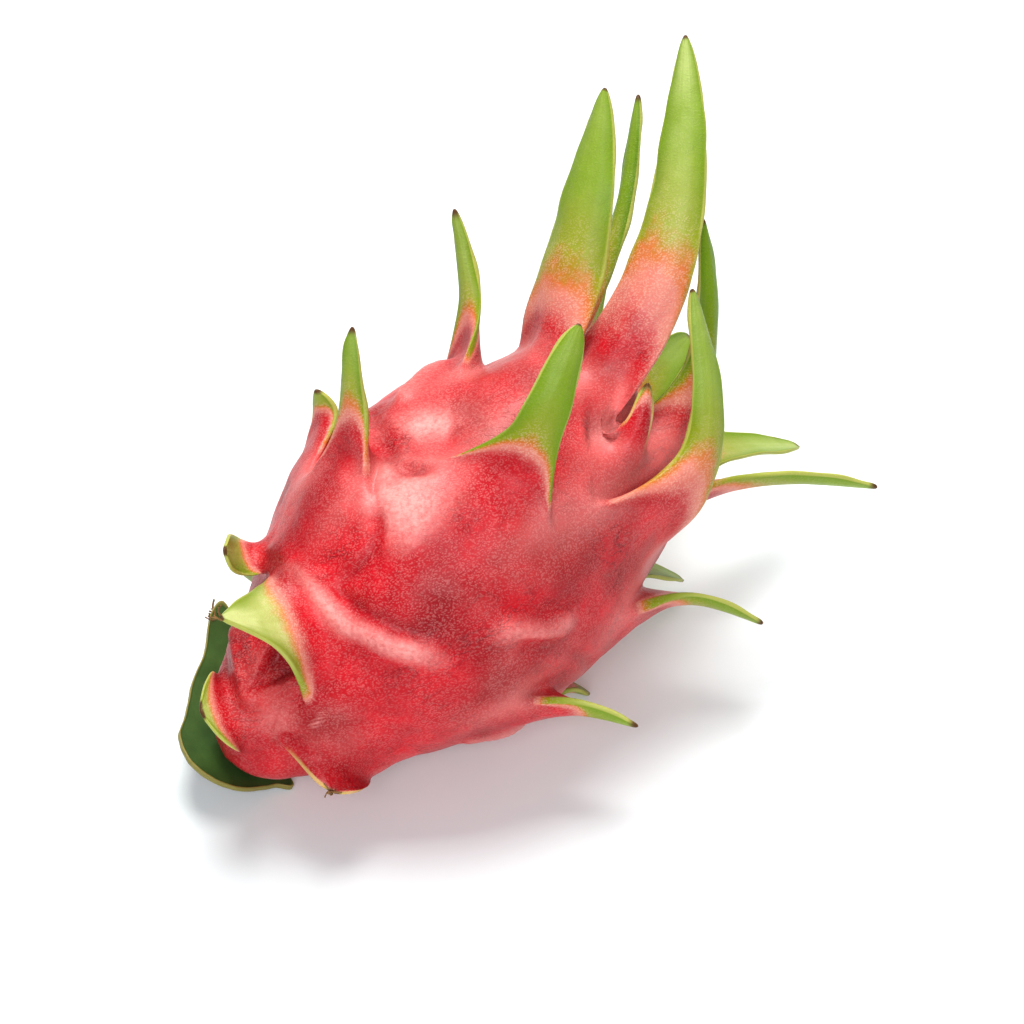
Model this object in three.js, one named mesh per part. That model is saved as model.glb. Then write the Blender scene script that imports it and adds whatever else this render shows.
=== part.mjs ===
// Whole dragon fruit (pitaya): a leathery peel that carries leaf-like scales, lying on its
// belly with the crown raised, and the cut piece of cactus stem that it grew from.
// Units are millimetres, +Z is up, and the origin is the middle of the flat rest spot.
import * as THREE from 'three';

// ---- driving dimensions -------------------------------------------------------------------

const BODY_LENGTH = 144; // stem end to crown rim
const BODY_RADIUS = 46; // widest radius, a little below the middle
const AXIS_RISE = THREE.MathUtils.degToRad(23); // how far the crown is raised off the floor
const REST_STATION = 53; // distance along the axis of the belly's lowest point
const REST_CLIP = 1.2; // how much of the belly is flattened where it rests

// Half outline of the peel, from the stem scar round to the bottom of the navel:
// [distance along the axis / body length, radius / body radius].
const OUTLINE = [
  [0, 0], [0.008, 0.1], [0.03, 0.24], [0.1, 0.41], [0.2, 0.59], [0.33, 0.81], [0.47, 0.96],
  [0.61, 0.955], [0.74, 0.835], [0.85, 0.685], [0.93, 0.55], [0.985, 0.42], [0.985, 0.3],
  [0.94, 0.2], [0.91, 0.1], [0.905, 0],
];

const COLUMNS = 54; // faces round the body
const ROWS = 42; // faces from the stem scar to the navel
const WARP_ROWS = 5; // rows over which the grid bends towards a scale's base
const WARP_COLUMNS = 3.5; // columns over which it bends beyond the base's corners

const MARGIN_THICKNESS = 0.95; // of a scale along its edge
const BASE_THICKNESS = 3.6; // of a scale along its midline, at the base
const TIP_THICKNESS = 1.6; // of a scale along its midline, at the tip
const CORNER_THICKNESS = 1.8; // of a scale where its edges leave the peel
const TIP_HALF_WIDTH = 0.8;
const RING_STEP = 7; // mean length of blade between two cross-sections
const RING_CROWDING = 1.35; // over 1 sets the cross-sections closer together near the tip
const ROOT_PULL = 0.38; // share of a blade's length over which it keeps its direction at the root
const TIP_PULL = 0.33; // share over which it keeps its direction at the tip
const MARGIN_FALL = 1.5; // power of the thinning from a blade's midline to its margins
const AXIL_REACH = 12; // length of the hollow or swelling crownward of a base
const RIB_WIDTH = 5; // of the ribs that run stemward from a base's corners
const RIDGE_FALL = 1.5; // how quickly a ridge fades sideways
const DEEPEST = -8; // of any hollow
const STEM_FADE = 14; // distance from the stem scar over which the relief grows
const NAVEL_FADE = 30; // distance before the bottom of the navel over which it fades

// Slow swells of the peel: [height, waves round the body, distance along it per radian].
const SWAYS = [[0.6, 3, 19], [0.5, 5, -13]];

// Cactus stem piece: a dished slab under the stem end, with its lowest corner near the floor.
const STEM_PLACE = [-47.4, 1.5, 2]; // bottom of the dish
const STEM_TILT = [10, 18, 0]; // degrees about X, then Y, then Z
const STEM_DISH = 0.006; // height gained towards the edge, per squared millimetre
const STEM_THICKNESS = 4; // in the middle
const STEM_MARGIN = 1.2; // thickness at the edge
const STEM_MIDDLE = [-8, 10]; // where the slab is thickest, in its own plane
const STEM_OUTLINE = [
  [6, 45], [2, 43.5], [-4.6, 34.6], [-12.3, 27.6], [-20.5, 18.3], [-26, 12.6], [-27.8, 4.5],
  [-24.7, -2], [-18.3, -6.6], [-7.3, -8], [-2.6, -9.8], [-1, -5], [3, 3], [5, 18], [8, 33],
];
const STEM_STEPS = 40; // points round the edge
const STEM_RINGS = [0.4, 0.75, 0.93, 1]; // cross-sections from the middle to the edge

// Scale families: shared proportions, overridden scale by scale.
//   span     half width of the attached base
//   arch     how far the middle of the base sits crownward of its two corners
//   slant    how far the base's front corner sits crownward of its middle
//   gap      height of the base's cross-section on the peel
//   lift     angle between the peel and the root of the blade, degrees
//   half     half width of the free blade near its root
//   taper    power of the narrowing: under 1 keeps the blade broad, over 1 makes it slim
//   cup      how far the margins curl to the inner side, as a share of the half width
//   flare    share of the blade over which its wide root narrows to the blade
//   turn     turn of the blade's face about its midline, degrees
//   swell    height of the fleshy ridge that runs up the peel to the base
//   reach    length of that ridge
//   rib      height of the ribs that run stemward from the base's corners
//   axil     height of the peel just crownward of the base, negative for a hollow
//   advance  distance along the axis from the base to the tip, where no tip is given
//   rise     distance from the axis gained from the base to the tip, where no tip is given
const FAMILIES = {
  crown: {
    span: 14, arch: 8, slant: 0, gap: 5, lift: 55, half: 9, taper: 0.42, cup: 0.3, flare: 0.4, turn: 0,
    swell: 5, reach: 34, rib: 2, axil: -2.2, advance: 42, rise: 34,
  },
  shoulder: {
    span: 14, arch: 8, slant: 0, gap: 5, lift: 45, half: 7.5, taper: 0.5, cup: 0.25, flare: 0.4, turn: 0,
    swell: 6, reach: 34, rib: 2, axil: -2.2, advance: 22, rise: 28,
  },
  flank: {
    span: 11, arch: 7, slant: 0, gap: 4.5, lift: 50, half: 6, taper: 0.6, cup: 0.25, flare: 0.4, turn: 0,
    swell: 6, reach: 32, rib: 2, axil: -2.2, advance: 12, rise: 22,
  },
  basal: {
    span: 15, arch: 6, slant: 0, gap: 4, lift: 120, half: 11, taper: 0.8, cup: 0.1, flare: 0.6, turn: 0,
    swell: -3, reach: 16, rib: 0, axil: 2.2, advance: -14, rise: 14,
  },
};

// ---- frame of the body --------------------------------------------------------------------

const toRadians = THREE.MathUtils.degToRad;
const clamp = THREE.MathUtils.clamp;
const lerp = THREE.MathUtils.lerp;

const AXIS = new THREE.Vector3(Math.cos(AXIS_RISE), 0, Math.sin(AXIS_RISE));
const TOP = new THREE.Vector3(-Math.sin(AXIS_RISE), 0, Math.cos(AXIS_RISE));
const FRONT = new THREE.Vector3(0, -1, 0);

const outline = new THREE.SplineCurve(
  OUTLINE.map(([along, radius]) => new THREE.Vector2(along * BODY_LENGTH, radius * BODY_RADIUS)),
);

const CURVE_SAMPLES = 800;
outline.arcLengthDivisions = CURVE_SAMPLES;
const OUTLINE_LENGTH = outline.getLength();
const POLE_SHARE = 0.004; // the outline's direction is read no nearer than this to its ends

// Direction away from the axis at an angle.
function outwardAt(angle) {
  return TOP.clone().multiplyScalar(Math.cos(angle)).addScaledVector(FRONT, Math.sin(angle));
}

// Direction round the axis at an angle.
function roundAt(angle) {
  return TOP.clone().multiplyScalar(-Math.sin(angle)).addScaledVector(FRONT, Math.cos(angle));
}

// Radius of the plain body at a distance along the axis, below the crown rim.
function bodyRadiusAt(station) {
  const line = outline.getSpacedPoints(CURVE_SAMPLES);
  const next = line.findIndex((point) => point.x >= station);
  const [near, far] = [line[next - 1], line[next]];
  return lerp(near.y, far.y, (station - near.x) / (far.x - near.x));
}

// Stem scar, placed so that the belly's lowest point lies REST_CLIP under the origin.
const SCAR = outwardAt(Math.PI)
  .multiplyScalar(-bodyRadiusAt(REST_STATION))
  .addScaledVector(AXIS, -REST_STATION)
  .add(new THREE.Vector3(0, 0, -REST_CLIP));

function cylinderPoint(station, angle, radius) {
  return SCAR.clone().addScaledVector(AXIS, station).addScaledVector(outwardAt(angle), radius);
}

// Point of the plain body and its outward normal and crownward tangent.
function bodyFrame(arc, angle) {
  const share = clamp(arc / OUTLINE_LENGTH, 0, 1);
  const [station, radius] = outline.getPointAt(share);
  const [along, out] = outline.getTangentAt(clamp(share, POLE_SHARE, 1 - POLE_SHARE));
  const outward = outwardAt(angle);
  return {
    point: cylinderPoint(station, angle, radius),
    radius,
    tangent: AXIS.clone().multiplyScalar(along).addScaledVector(outward, out),
    normal: AXIS.clone().multiplyScalar(-out).addScaledVector(outward, along),
  };
}

// ---- the scales -----------------------------------------------------------------------------

// Radius at which a scale's tip stands on the floor.
function floorRadius(station, degrees) {
  const height = SCAR.z + AXIS.z * station - TIP_THICKNESS / 2;
  return height / -outwardAt(toRadians(degrees)).z;
}

// Scales: base = [distance along the outline from the stem scar, angle round the axis],
// tip = [distance along the axis, angle, radius]. Angle 0 is on top and 90 in front.
const SCALES = [
  { family: 'crown', base: [154, -20], tip: [183, -28, 72], span: 12, lift: 68, half: 11.5,
    taper: 0.55, cup: 0.35, flare: 0.35, turn: 30 },
  { family: 'crown', base: [163, 12], tip: [206, -22, 72], span: 10, lift: 72, half: 10.4,
    taper: 0.5, flare: 0.35, turn: 12 },
  { family: 'crown', base: [164, -52], tip: [197, -57, 61], span: 7, arch: 3, lift: 64,
    half: 4, turn: 40 },
  { family: 'crown', base: [164, 66], tip: [182, -10, 33], span: 7, arch: 3, half: 5.5 },
  { family: 'crown', base: [142, 84], tip: [164, 20, 42], half: 6.3, span: 14, slant: 8,
    taper: 0.5, turn: -35 },
  { family: 'crown', base: [156, 52], tip: [141, 34, 35], half: 4, span: 6, arch: 3, gap: 3 },
  { family: 'crown', base: [154, 128], span: 8.5, arch: 5, half: 8 },
  { family: 'crown', base: [154, 174], span: 8.5, arch: 5, half: 8.5 },
  { family: 'crown', base: [154, 220], span: 8.5, arch: 5, half: 8 },
  { family: 'crown', base: [154, 266], span: 8.5, arch: 5, half: 8.5 },
  { family: 'shoulder', base: [117, 28], tip: [133, 16, 66], span: 13, slant: 5, lift: 84,
    half: 7, taper: 0.37, cup: 0.17, flare: 0.3, turn: 28 },
  { family: 'shoulder', base: [134, -48], tip: [137, -45, 69], half: 3.4, lift: 74, span: 11,
    turn: 55 },
  { family: 'shoulder', base: [124, 128] },
  { family: 'shoulder', base: [122, 172] },
  { family: 'shoulder', base: [126, 214] },
  { family: 'shoulder', base: [120, 256], rise: 22 },
  { family: 'flank', base: [93, -14], tip: [93, -17, 74], half: 3.8, lift: 78, span: 9,
    turn: 35 },
  { family: 'flank', base: [91, -45], tip: [79, -42, 57], half: 5.5, span: 9, swell: 3,
    turn: 45 },
  { family: 'flank', base: [94, 152], tip: [84, 152, floorRadius(84, 152)] },
  { family: 'flank', base: [94, 208], tip: [84, 208, floorRadius(84, 208)] },
  { family: 'flank', base: [88, 106] },
  { family: 'flank', base: [88, 258], rise: 18 },
  { family: 'basal', base: [56, -37], tip: [34, -20, 47], span: 8, arch: 2, slant: -2, half: 7.5,
    taper: 0.36, turn: -50 },
  { family: 'basal', base: [56, 13], tip: [22, 9, 57], span: 19, arch: 9, slant: -10, half: 16,
    flare: 0.8, swell: -6, reach: 24 },
  { family: 'basal', base: [20, 8], tip: [3.5, 6, 26], lift: 108, span: 12, slant: -4,
    arch: 2, half: 14, taper: 0.5, turn: -25, flare: 0.5 },
  { family: 'basal', base: [36, 92], tip: [15, 84, 33], lift: 112, span: 18, slant: 5,
    arch: 4, half: 17, taper: 0.65, cup: 0.05, flare: 1, turn: 60, swell: -9, reach: 30,
    axil: 4 },
  { family: 'basal', base: [56, -96], advance: -6, rise: 12, span: 11, half: 8 },
];

// ---- scales on the grid -------------------------------------------------------------------

const ROW_STEP = OUTLINE_LENGTH / ROWS;
const COLUMN_STEP = (2 * Math.PI) / COLUMNS;

// Signed difference of two angles, from -180 to 180 degrees.
function angleBetween(a, b) {
  return THREE.MathUtils.euclideanModulo(a - b + Math.PI, 2 * Math.PI) - Math.PI;
}

// A hump that is 1 at 0 and falls smoothly to 0 at 1.
function hump(x) {
  return Math.abs(x) < 1 ? (1 - x * x) ** 2 : 0;
}

function placeScale(entry) {
  const scale = { ...FAMILIES[entry.family], ...entry };
  const [arc, degrees] = scale.base;
  const angle = toRadians(degrees);
  const radius = bodyFrame(arc, angle).radius;
  const reachColumns = Math.max(2, Math.round(scale.span / (radius * COLUMN_STEP)));
  const middle = Math.round(angle / COLUMN_STEP);
  return {
    ...scale,
    arc,
    angle,
    radius,
    row: Math.round(arc / ROW_STEP - 0.5),
    middle,
    reachColumns,
    nudge: angle - middle * COLUMN_STEP,
    columns: Array.from({ length: 2 * reachColumns + 1 }, (_, k) => middle - reachColumns + k),
  };
}

const scales = SCALES.map(placeScale);

// How far a grid point moves, along the outline and round the axis, so that the two rows at
// a scale's base follow its arched lips.
function warp(scale, row, column) {
  const offset = angleBetween(column * COLUMN_STEP, scale.middle * COLUMN_STEP) / COLUMN_STEP;
  const across = offset / scale.reachColumns;
  const beyond = Math.max(0, Math.abs(offset) - scale.reachColumns);
  const below = row <= scale.row;
  const lipRow = below ? scale.row : scale.row + 1;
  const fall = hump((row - lipRow) / WARP_ROWS) * hump(beyond / WARP_COLUMNS);
  const bow = Math.min(1, across * across);
  const opening = lerp(scale.gap, CORNER_THICKNESS, bow) / 2;
  const slant = scale.slant * clamp(across, -1, 1);
  const lip = scale.arc - scale.arch * bow + slant + (below ? -opening : opening);
  return { arc: (lip - lipRow * ROW_STEP) * fall, angle: scale.nudge * fall };
}

// Height of the peel over the plain body: the ridges that run up to the scales, joined by
// soft shoulders, and the hollows beside their bases.
function relief(row, arc, angle) {
  let raised = 0;
  let sunk = 0;
  for (const scale of scales) {
    const sideways = angleBetween(angle, scale.angle) * scale.radius;
    const across = sideways / scale.span;
    const bounded = clamp(across, -1, 1);
    const below = scale.arc - scale.arch * bounded * bounded + scale.slant * bounded - arc;
    const stemward = row <= scale.row;
    const along = clamp(Math.abs(below) / (stemward ? scale.reach : AXIL_REACH), 0, 1);
    const fade = (1 - along) ** 2 * Math.exp(-RIDGE_FALL * across * across);
    const height = (stemward ? scale.swell : scale.axil) * fade;
    const offRib = (Math.abs(sideways) - scale.span) / RIB_WIDTH;
    const rib = stemward ? scale.rib * Math.exp(-offRib * offRib) * (1 - along) ** 2 : 0;
    raised += Math.max(0, height) ** 3 + rib ** 3;
    sunk += Math.min(0, height);
  }
  let sway = 0;
  for (const [tall, waves, pitch] of SWAYS) sway += tall * Math.sin(waves * angle + arc / pitch);
  const ends = Math.min(1, arc / STEM_FADE) * Math.min(1, (OUTLINE_LENGTH - arc) / NAVEL_FADE);
  return (Math.cbrt(raised) + Math.max(sunk, DEEPEST) + sway) * ends;
}

function peelPoint(row, column) {
  let arc = row * ROW_STEP;
  let angle = column * COLUMN_STEP;
  for (const scale of scales) {
    const shift = warp(scale, row, column);
    arc += shift.arc;
    angle += shift.angle;
  }
  const frame = bodyFrame(arc, angle);
  return frame.point.addScaledVector(frame.normal, relief(row, arc, angle));
}

// ---- cage mesh ----------------------------------------------------------------------------

const points = [];
const faces = []; // loops of three or four point numbers, counter-clockwise from outside

function addPoint(point) {
  points.push(point);
  return points.length - 1;
}

// Peel grid: one point at each pole, COLUMNS points on each row between.
const grid = [];
for (let row = 0; row <= ROWS; row += 1) {
  if (row === 0 || row === ROWS) {
    const pole = addPoint(bodyFrame(row * ROW_STEP, 0).point);
    grid.push(new Array(COLUMNS).fill(pole));
  } else {
    grid.push(Array.from({ length: COLUMNS }, (_, column) => addPoint(peelPoint(row, column))));
  }
}
for (const point of points) point.z = Math.max(0, point.z);

const wrap = (column) => THREE.MathUtils.euclideanModulo(column, COLUMNS);
const slits = new Set();
for (const scale of scales) {
  for (const column of scale.columns.slice(0, -1)) slits.add(`${scale.row}/${wrap(column)}`);
}
for (let row = 0; row < ROWS; row += 1) {
  for (let column = 0; column < COLUMNS; column += 1) {
    const next = wrap(column + 1);
    if (row === 0) faces.push([grid[0][0], grid[1][next], grid[1][column]]);
    else if (row === ROWS - 1) faces.push([grid[row][column], grid[row][next], grid[ROWS][0]]);
    else if (!slits.has(`${row}/${column}`)) {
      faces.push([grid[row][column], grid[row][next], grid[row + 1][next], grid[row + 1][column]]);
    }
  }
}

// Midline of a scale's blade, from the middle of its base to its tip.
function midline(scale, root) {
  const frame = bodyFrame(scale.arc, scale.angle);
  const lift = toRadians(scale.lift);
  const start = frame.tangent.multiplyScalar(Math.cos(lift));
  start.addScaledVector(frame.normal, Math.sin(lift));
  const share = clamp(scale.arc / OUTLINE_LENGTH, 0, 1);
  const [station, radius] = outline.getPointAt(share);
  const [tipStation, tipDegrees, tipRadius] = scale.tip
    ?? [station + scale.advance, scale.base[1], radius + scale.rise];
  const tip = cylinderPoint(tipStation, toRadians(tipDegrees), tipRadius);
  const length = tip.distanceTo(root);
  const first = root.clone().addScaledVector(start, ROOT_PULL * length);
  const end = tip.clone().sub(first).normalize();
  const second = tip.clone().addScaledVector(end, -TIP_PULL * length);
  return new THREE.CubicBezierCurve3(root, first, second, tip);
}

// Offset from the midline to a point of the blade's cross-section.
function bladeOffset(scale, curve, share, across, side) {
  const direction = curve.getTangent(share);
  const width = roundAt(scale.angle);
  width.addScaledVector(direction, -width.dot(direction)).normalize();
  width.applyAxisAngle(direction, toRadians(scale.turn));
  const outer = width.clone().cross(direction);
  const half = lerp(TIP_HALF_WIDTH, scale.half, (1 - share) ** scale.taper);
  const middle = lerp(BASE_THICKNESS, TIP_THICKNESS, share);
  const thick = lerp(middle, MARGIN_THICKNESS, Math.abs(across) ** MARGIN_FALL);
  const cupped = -scale.cup * half * across * across;
  return width.multiplyScalar(half * across).addScaledVector(outer, cupped + (side * thick) / 2);
}

function addScale(scale) {
  const lipPoints = [1, -1].map((side) => {
    const row = side > 0 ? scale.row : scale.row + 1;
    return scale.columns.map((column) => grid[row][wrap(column)]);
  });
  const middle = scale.reachColumns;
  const root = points[lipPoints[0][middle]].clone().lerp(points[lipPoints[1][middle]], 0.5);
  const curve = midline(scale, root);
  const rings = Math.max(4, Math.round(curve.getLength() / RING_STEP));
  let previous = lipPoints;
  for (let ring = 1; ring <= rings; ring += 1) {
    const share = 1 - (1 - ring / rings) ** RING_CROWDING;
    const flare = Math.max(0, 1 - share / scale.flare) ** 2;
    const centre = curve.getPoint(share);
    const current = [1, -1].map((side, layer) => scale.columns.map((_, k) => {
      const across = k / middle - 1;
      const point = centre.clone().add(bladeOffset(scale, curve, share, across, side));
      const lip = points[lipPoints[layer][k]].clone().sub(root);
      lip.sub(bladeOffset(scale, curve, 0, across, side));
      return addPoint(point.addScaledVector(lip, flare));
    }));
    joinRings(previous, current);
    previous = current;
  }
  const [outer, inner] = previous;
  for (let k = 0; k + 1 < outer.length; k += 1) {
    faces.push([outer[k], outer[k + 1], inner[k + 1], inner[k]]);
  }
}

// Faces between two cross-sections: the outer side, the inner side and the two edges.
function joinRings([outer, inner], [nextOuter, nextInner]) {
  const last = outer.length - 1;
  for (let k = 0; k < last; k += 1) {
    faces.push([outer[k], outer[k + 1], nextOuter[k + 1], nextOuter[k]]);
    faces.push([inner[k + 1], inner[k], nextInner[k], nextInner[k + 1]]);
  }
  faces.push([outer[last], inner[last], nextInner[last], nextOuter[last]]);
  faces.push([inner[0], outer[0], nextOuter[0], nextInner[0]]);
}

scales.forEach(addScale);

// Triangles of a cage: each four-sided face is split along its shorter diagonal.
function cageGeometry(cagePoints, cageFaces) {
  const index = [];
  for (const [a, b, c, d] of cageFaces) {
    if (d === undefined) index.push(a, b, c);
    else if (cagePoints[a].distanceTo(cagePoints[c]) <= cagePoints[b].distanceTo(cagePoints[d])) {
      index.push(a, b, c, a, c, d);
    } else index.push(a, b, d, b, c, d);
  }
  const geometry = new THREE.BufferGeometry().setFromPoints(cagePoints);
  geometry.setIndex(index);
  geometry.computeVertexNormals();
  return geometry;
}

// ---- cactus stem piece --------------------------------------------------------------------

// A dished slab, seen in plan: a closed curve through these points, in its own plane.
function stemPieceGeometry() {
  const edge = new THREE.CatmullRomCurve3(
    STEM_OUTLINE.map(([x, y]) => new THREE.Vector3(x, y, 0)),
    true,
    'centripetal',
  );
  const middle = new THREE.Vector3(...STEM_MIDDLE, 0);
  const height = (point) => STEM_DISH * (point.x ** 2 + point.y ** 2);
  const level = height(middle);
  const cagePoints = [level, level - STEM_THICKNESS].map((z) => middle.clone().setZ(z));
  const cageFaces = [];
  const rings = [...STEM_RINGS, ...STEM_RINGS.toReversed()];
  rings.forEach((share, ring) => {
    const top = ring < STEM_RINGS.length;
    for (let step = 0; step < STEM_STEPS; step += 1) {
      const point = middle.clone().lerp(edge.getPoint(step / STEM_STEPS), share);
      const thickness = top ? 0 : lerp(STEM_THICKNESS, STEM_MARGIN, share * share);
      cagePoints.push(point.setZ(height(point) - thickness));
    }
  });
  const at = (ring, step) => 2 + ring * STEM_STEPS + (step % STEM_STEPS);
  for (let step = 0; step < STEM_STEPS; step += 1) {
    cageFaces.push([0, at(0, step), at(0, step + 1)]);
    cageFaces.push([1, at(rings.length - 1, step + 1), at(rings.length - 1, step)]);
    for (let ring = 0; ring + 1 < rings.length; ring += 1) {
      const [near, far] = [at(ring, step), at(ring + 1, step)];
      cageFaces.push([near, far, at(ring + 1, step + 1), at(ring, step + 1)]);
    }
  }
  return cageGeometry(cagePoints, cageFaces);
}

// ---- the object ---------------------------------------------------------------------------

const peelMaterial = new THREE.MeshStandardMaterial({ color: 0xc93a4c, roughness: 0.42, metalness: 0 });
const stemMaterial = new THREE.MeshStandardMaterial({ color: 0x3f5a2c, roughness: 0.5, metalness: 0 });

const fruit = new THREE.Mesh(cageGeometry(points, faces), peelMaterial);
fruit.name = 'fruit';

const stemPiece = new THREE.Mesh(stemPieceGeometry(), stemMaterial);
stemPiece.name = 'cactus_stem_piece';
stemPiece.position.set(...STEM_PLACE);
stemPiece.rotation.set(...STEM_TILT.map(toRadians));

const dragonFruit = new THREE.Group();
dragonFruit.add(fruit, stemPiece);

export default dragonFruit;
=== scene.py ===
"""Looks of a whole dragon fruit lying on its belly beside the cut cactus stem it grew from.

The peel and the stem piece are built again, finer, from the driving dimensions of the solids,
and then coloured and given their skin. Lengths are millimetres until a mesh is made in metres.
"""

from __future__ import annotations

import logging
import math
from collections.abc import Mapping, Sequence
from dataclasses import dataclass, field, replace
from enum import Enum
from functools import partial
from typing import NamedTuple

import bpy
import numpy as np
from mathutils import Matrix, Vector, noise

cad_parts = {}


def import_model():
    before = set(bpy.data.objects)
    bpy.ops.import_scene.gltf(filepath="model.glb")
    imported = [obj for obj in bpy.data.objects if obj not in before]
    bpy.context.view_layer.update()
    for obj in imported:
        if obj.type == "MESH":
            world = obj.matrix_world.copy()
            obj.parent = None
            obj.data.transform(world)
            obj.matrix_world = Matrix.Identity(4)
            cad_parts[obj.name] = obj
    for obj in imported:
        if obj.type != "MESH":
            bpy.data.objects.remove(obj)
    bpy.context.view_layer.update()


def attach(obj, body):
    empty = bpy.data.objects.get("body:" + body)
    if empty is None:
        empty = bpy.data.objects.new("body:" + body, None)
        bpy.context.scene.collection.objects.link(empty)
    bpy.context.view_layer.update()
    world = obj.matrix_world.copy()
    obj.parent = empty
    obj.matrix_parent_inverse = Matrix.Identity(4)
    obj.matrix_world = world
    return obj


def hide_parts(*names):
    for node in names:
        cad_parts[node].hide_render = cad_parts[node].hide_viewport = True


log = logging.getLogger("dragon_fruit")

MM = 0.001  # metres in a millimetre


# ---- small helpers --------------------------------------------------------------------------


def linear(colour: str) -> tuple[float, float, float, float]:
    """Turn a colour into the linear values that shaders take.

    Args:
        colour: sRGB hex such as "#c8243a".

    Returns:
        Linear red, green and blue, and an alpha of 1.
    """
    levels = [int(colour[i : i + 2], 16) / 255 for i in (1, 3, 5)]
    red, green, blue = (
        level / 12.92 if level <= 0.04045 else ((level + 0.055) / 1.055) ** 2.4 for level in levels
    )
    return red, green, blue, 1.0


def smooth(low: float, high: float, value: np.ndarray) -> np.ndarray:
    """Smooth step.

    Args:
        low: value at which the step starts.
        high: value at which it is complete; below low for a falling step.
        value: where to read it.

    Returns:
        0 before the step, 1 after it.
    """
    share = np.clip((value - low) / (high - low), 0, 1)
    return share * share * (3 - 2 * share)


def hump(value: np.ndarray) -> np.ndarray:
    """A hump that is 1 at 0 and falls smoothly to 0 at 1."""
    return np.where(np.abs(value) < 1, (1 - value * value) ** 2, 0.0)


def angle_between(first: np.ndarray, second: np.ndarray | float) -> np.ndarray:
    """Signed difference of two angles in radians, from -pi to pi."""
    return np.mod(first - second + math.pi, 2 * math.pi) - math.pi


def unit(vector: np.ndarray) -> np.ndarray:
    """Vectors of length 1 along the last axis."""
    return vector / np.linalg.norm(vector, axis=-1, keepdims=True)


def turned(vector: np.ndarray, axis: np.ndarray, angle: float) -> np.ndarray:
    """Turn a vector about an axis.

    Args:
        vector: what turns.
        axis: unit axis.
        angle: radians.

    Returns:
        The turned vector.
    """
    return (
        vector * math.cos(angle)
        + np.cross(axis, vector) * math.sin(angle)
        + axis * (axis @ vector) * (1 - math.cos(angle))
    )


def soft_noise(points: np.ndarray, size: float, seed: float = 0.0) -> np.ndarray:
    """Smooth noise in space.

    Args:
        points: places in millimetres.
        size: millimetres from one lump to the next.
        seed: moves the pattern.

    Returns:
        Values from about -1 to 1.
    """
    places = points / size + seed
    return np.array([noise.noise(Vector(place)) for place in places])


def layered_noise(
    points: np.ndarray, layers: Sequence[tuple[float, float, float]]
) -> np.ndarray:
    """Layers of smooth noise, added up.

    Args:
        points: places in millimetres.
        layers: the size, seed and strength of each.

    Returns:
        Their sum.
    """
    return sum(strength * soft_noise(points, size, seed) for size, seed, strength in layers)


Socket = bpy.types.NodeSocket

MATH = "ShaderNodeMath"
VECTOR_MATH = "ShaderNodeVectorMath"
NOISE = "ShaderNodeTexNoise"
MAPPING = "ShaderNodeMapping"
MAP_RANGE = "ShaderNodeMapRange"
COMBINE = "ShaderNodeCombineXYZ"
BUMP = "ShaderNodeBump"
ATTRIBUTE = "ShaderNodeAttribute"
COORDINATES = "ShaderNodeTexCoord"
PRINCIPLED = "ShaderNodeBsdfPrincipled"
OUTPUT = "ShaderNodeOutputMaterial"

# Settings of the arithmetic nodes. The last two keep their result between 0 and 1.
PLUS = {"operation": "ADD"}
MINUS = {"operation": "SUBTRACT"}
TIMES = {"operation": "MULTIPLY"}
TIMES_PLUS = {"operation": "MULTIPLY_ADD"}
SCALE = {"operation": "SCALE"}
TIMES_CUT = {**TIMES, "use_clamp": True}
TIMES_PLUS_CUT = {**TIMES_PLUS, "use_clamp": True}


def add_node(
    tree: bpy.types.NodeTree,
    kind: str,
    settings: Mapping[str, object] | None = None,
    links: Mapping[str | int, object] | Sequence[object] = (),
    stops: Sequence[tuple[float, str]] = (),
    output: str | int = 0,
) -> Socket | None:
    """Add a node.

    Args:
        tree: where it goes.
        kind: its type name.
        settings: its properties.
        links: a socket to link or a value to set for each input, by name or number, or in order.
        stops: places and colours of a colour ramp.
        output: the output to hand back.

    Returns:
        That output, or None for a node without outputs.
    """
    node = tree.nodes.new(kind)
    for name, value in (settings or {}).items():
        setattr(node, name, value)
    named = links if isinstance(links, Mapping) else dict(enumerate(links))
    for name, value in named.items():
        if isinstance(value, Socket):
            tree.links.new(value, node.inputs[name])
        else:
            node.inputs[name].default_value = value
    if stops:
        ramp = node.color_ramp.elements
        while len(ramp) < len(stops):
            ramp.new(1.0)
        for element, (place, colour) in zip(ramp, stops):
            element.position = place
            element.color = linear(colour)
    return node.outputs[output] if len(node.outputs) else None


def lay_over(
    tree: bpy.types.NodeTree, under: object, layers: Sequence[tuple[Socket, float, object]]
) -> Socket:
    """Lay colours over one another.

    Args:
        tree: where the nodes go.
        under: the lowest colour, as a socket or in linear values.
        layers: from below, where each shows, how strongly, and its colour as sRGB hex or a socket.

    Returns:
        The colour that is seen.
    """
    for where, strength, colour in layers:
        share = add_node(tree, MATH, TIMES, (where, strength))
        over = colour if isinstance(colour, Socket) else linear(colour)
        settings = {"data_type": "RGBA", "clamp_factor": True}
        under = add_node(tree, "ShaderNodeMix", settings, {0: share, 6: under, 7: over}, output=2)
    return under


def empty_material(name: str) -> bpy.types.Material:
    """A new material whose node tree is empty."""
    made = bpy.data.materials.new(name)
    made.use_nodes = True
    made.node_tree.nodes.clear()
    return made


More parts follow.
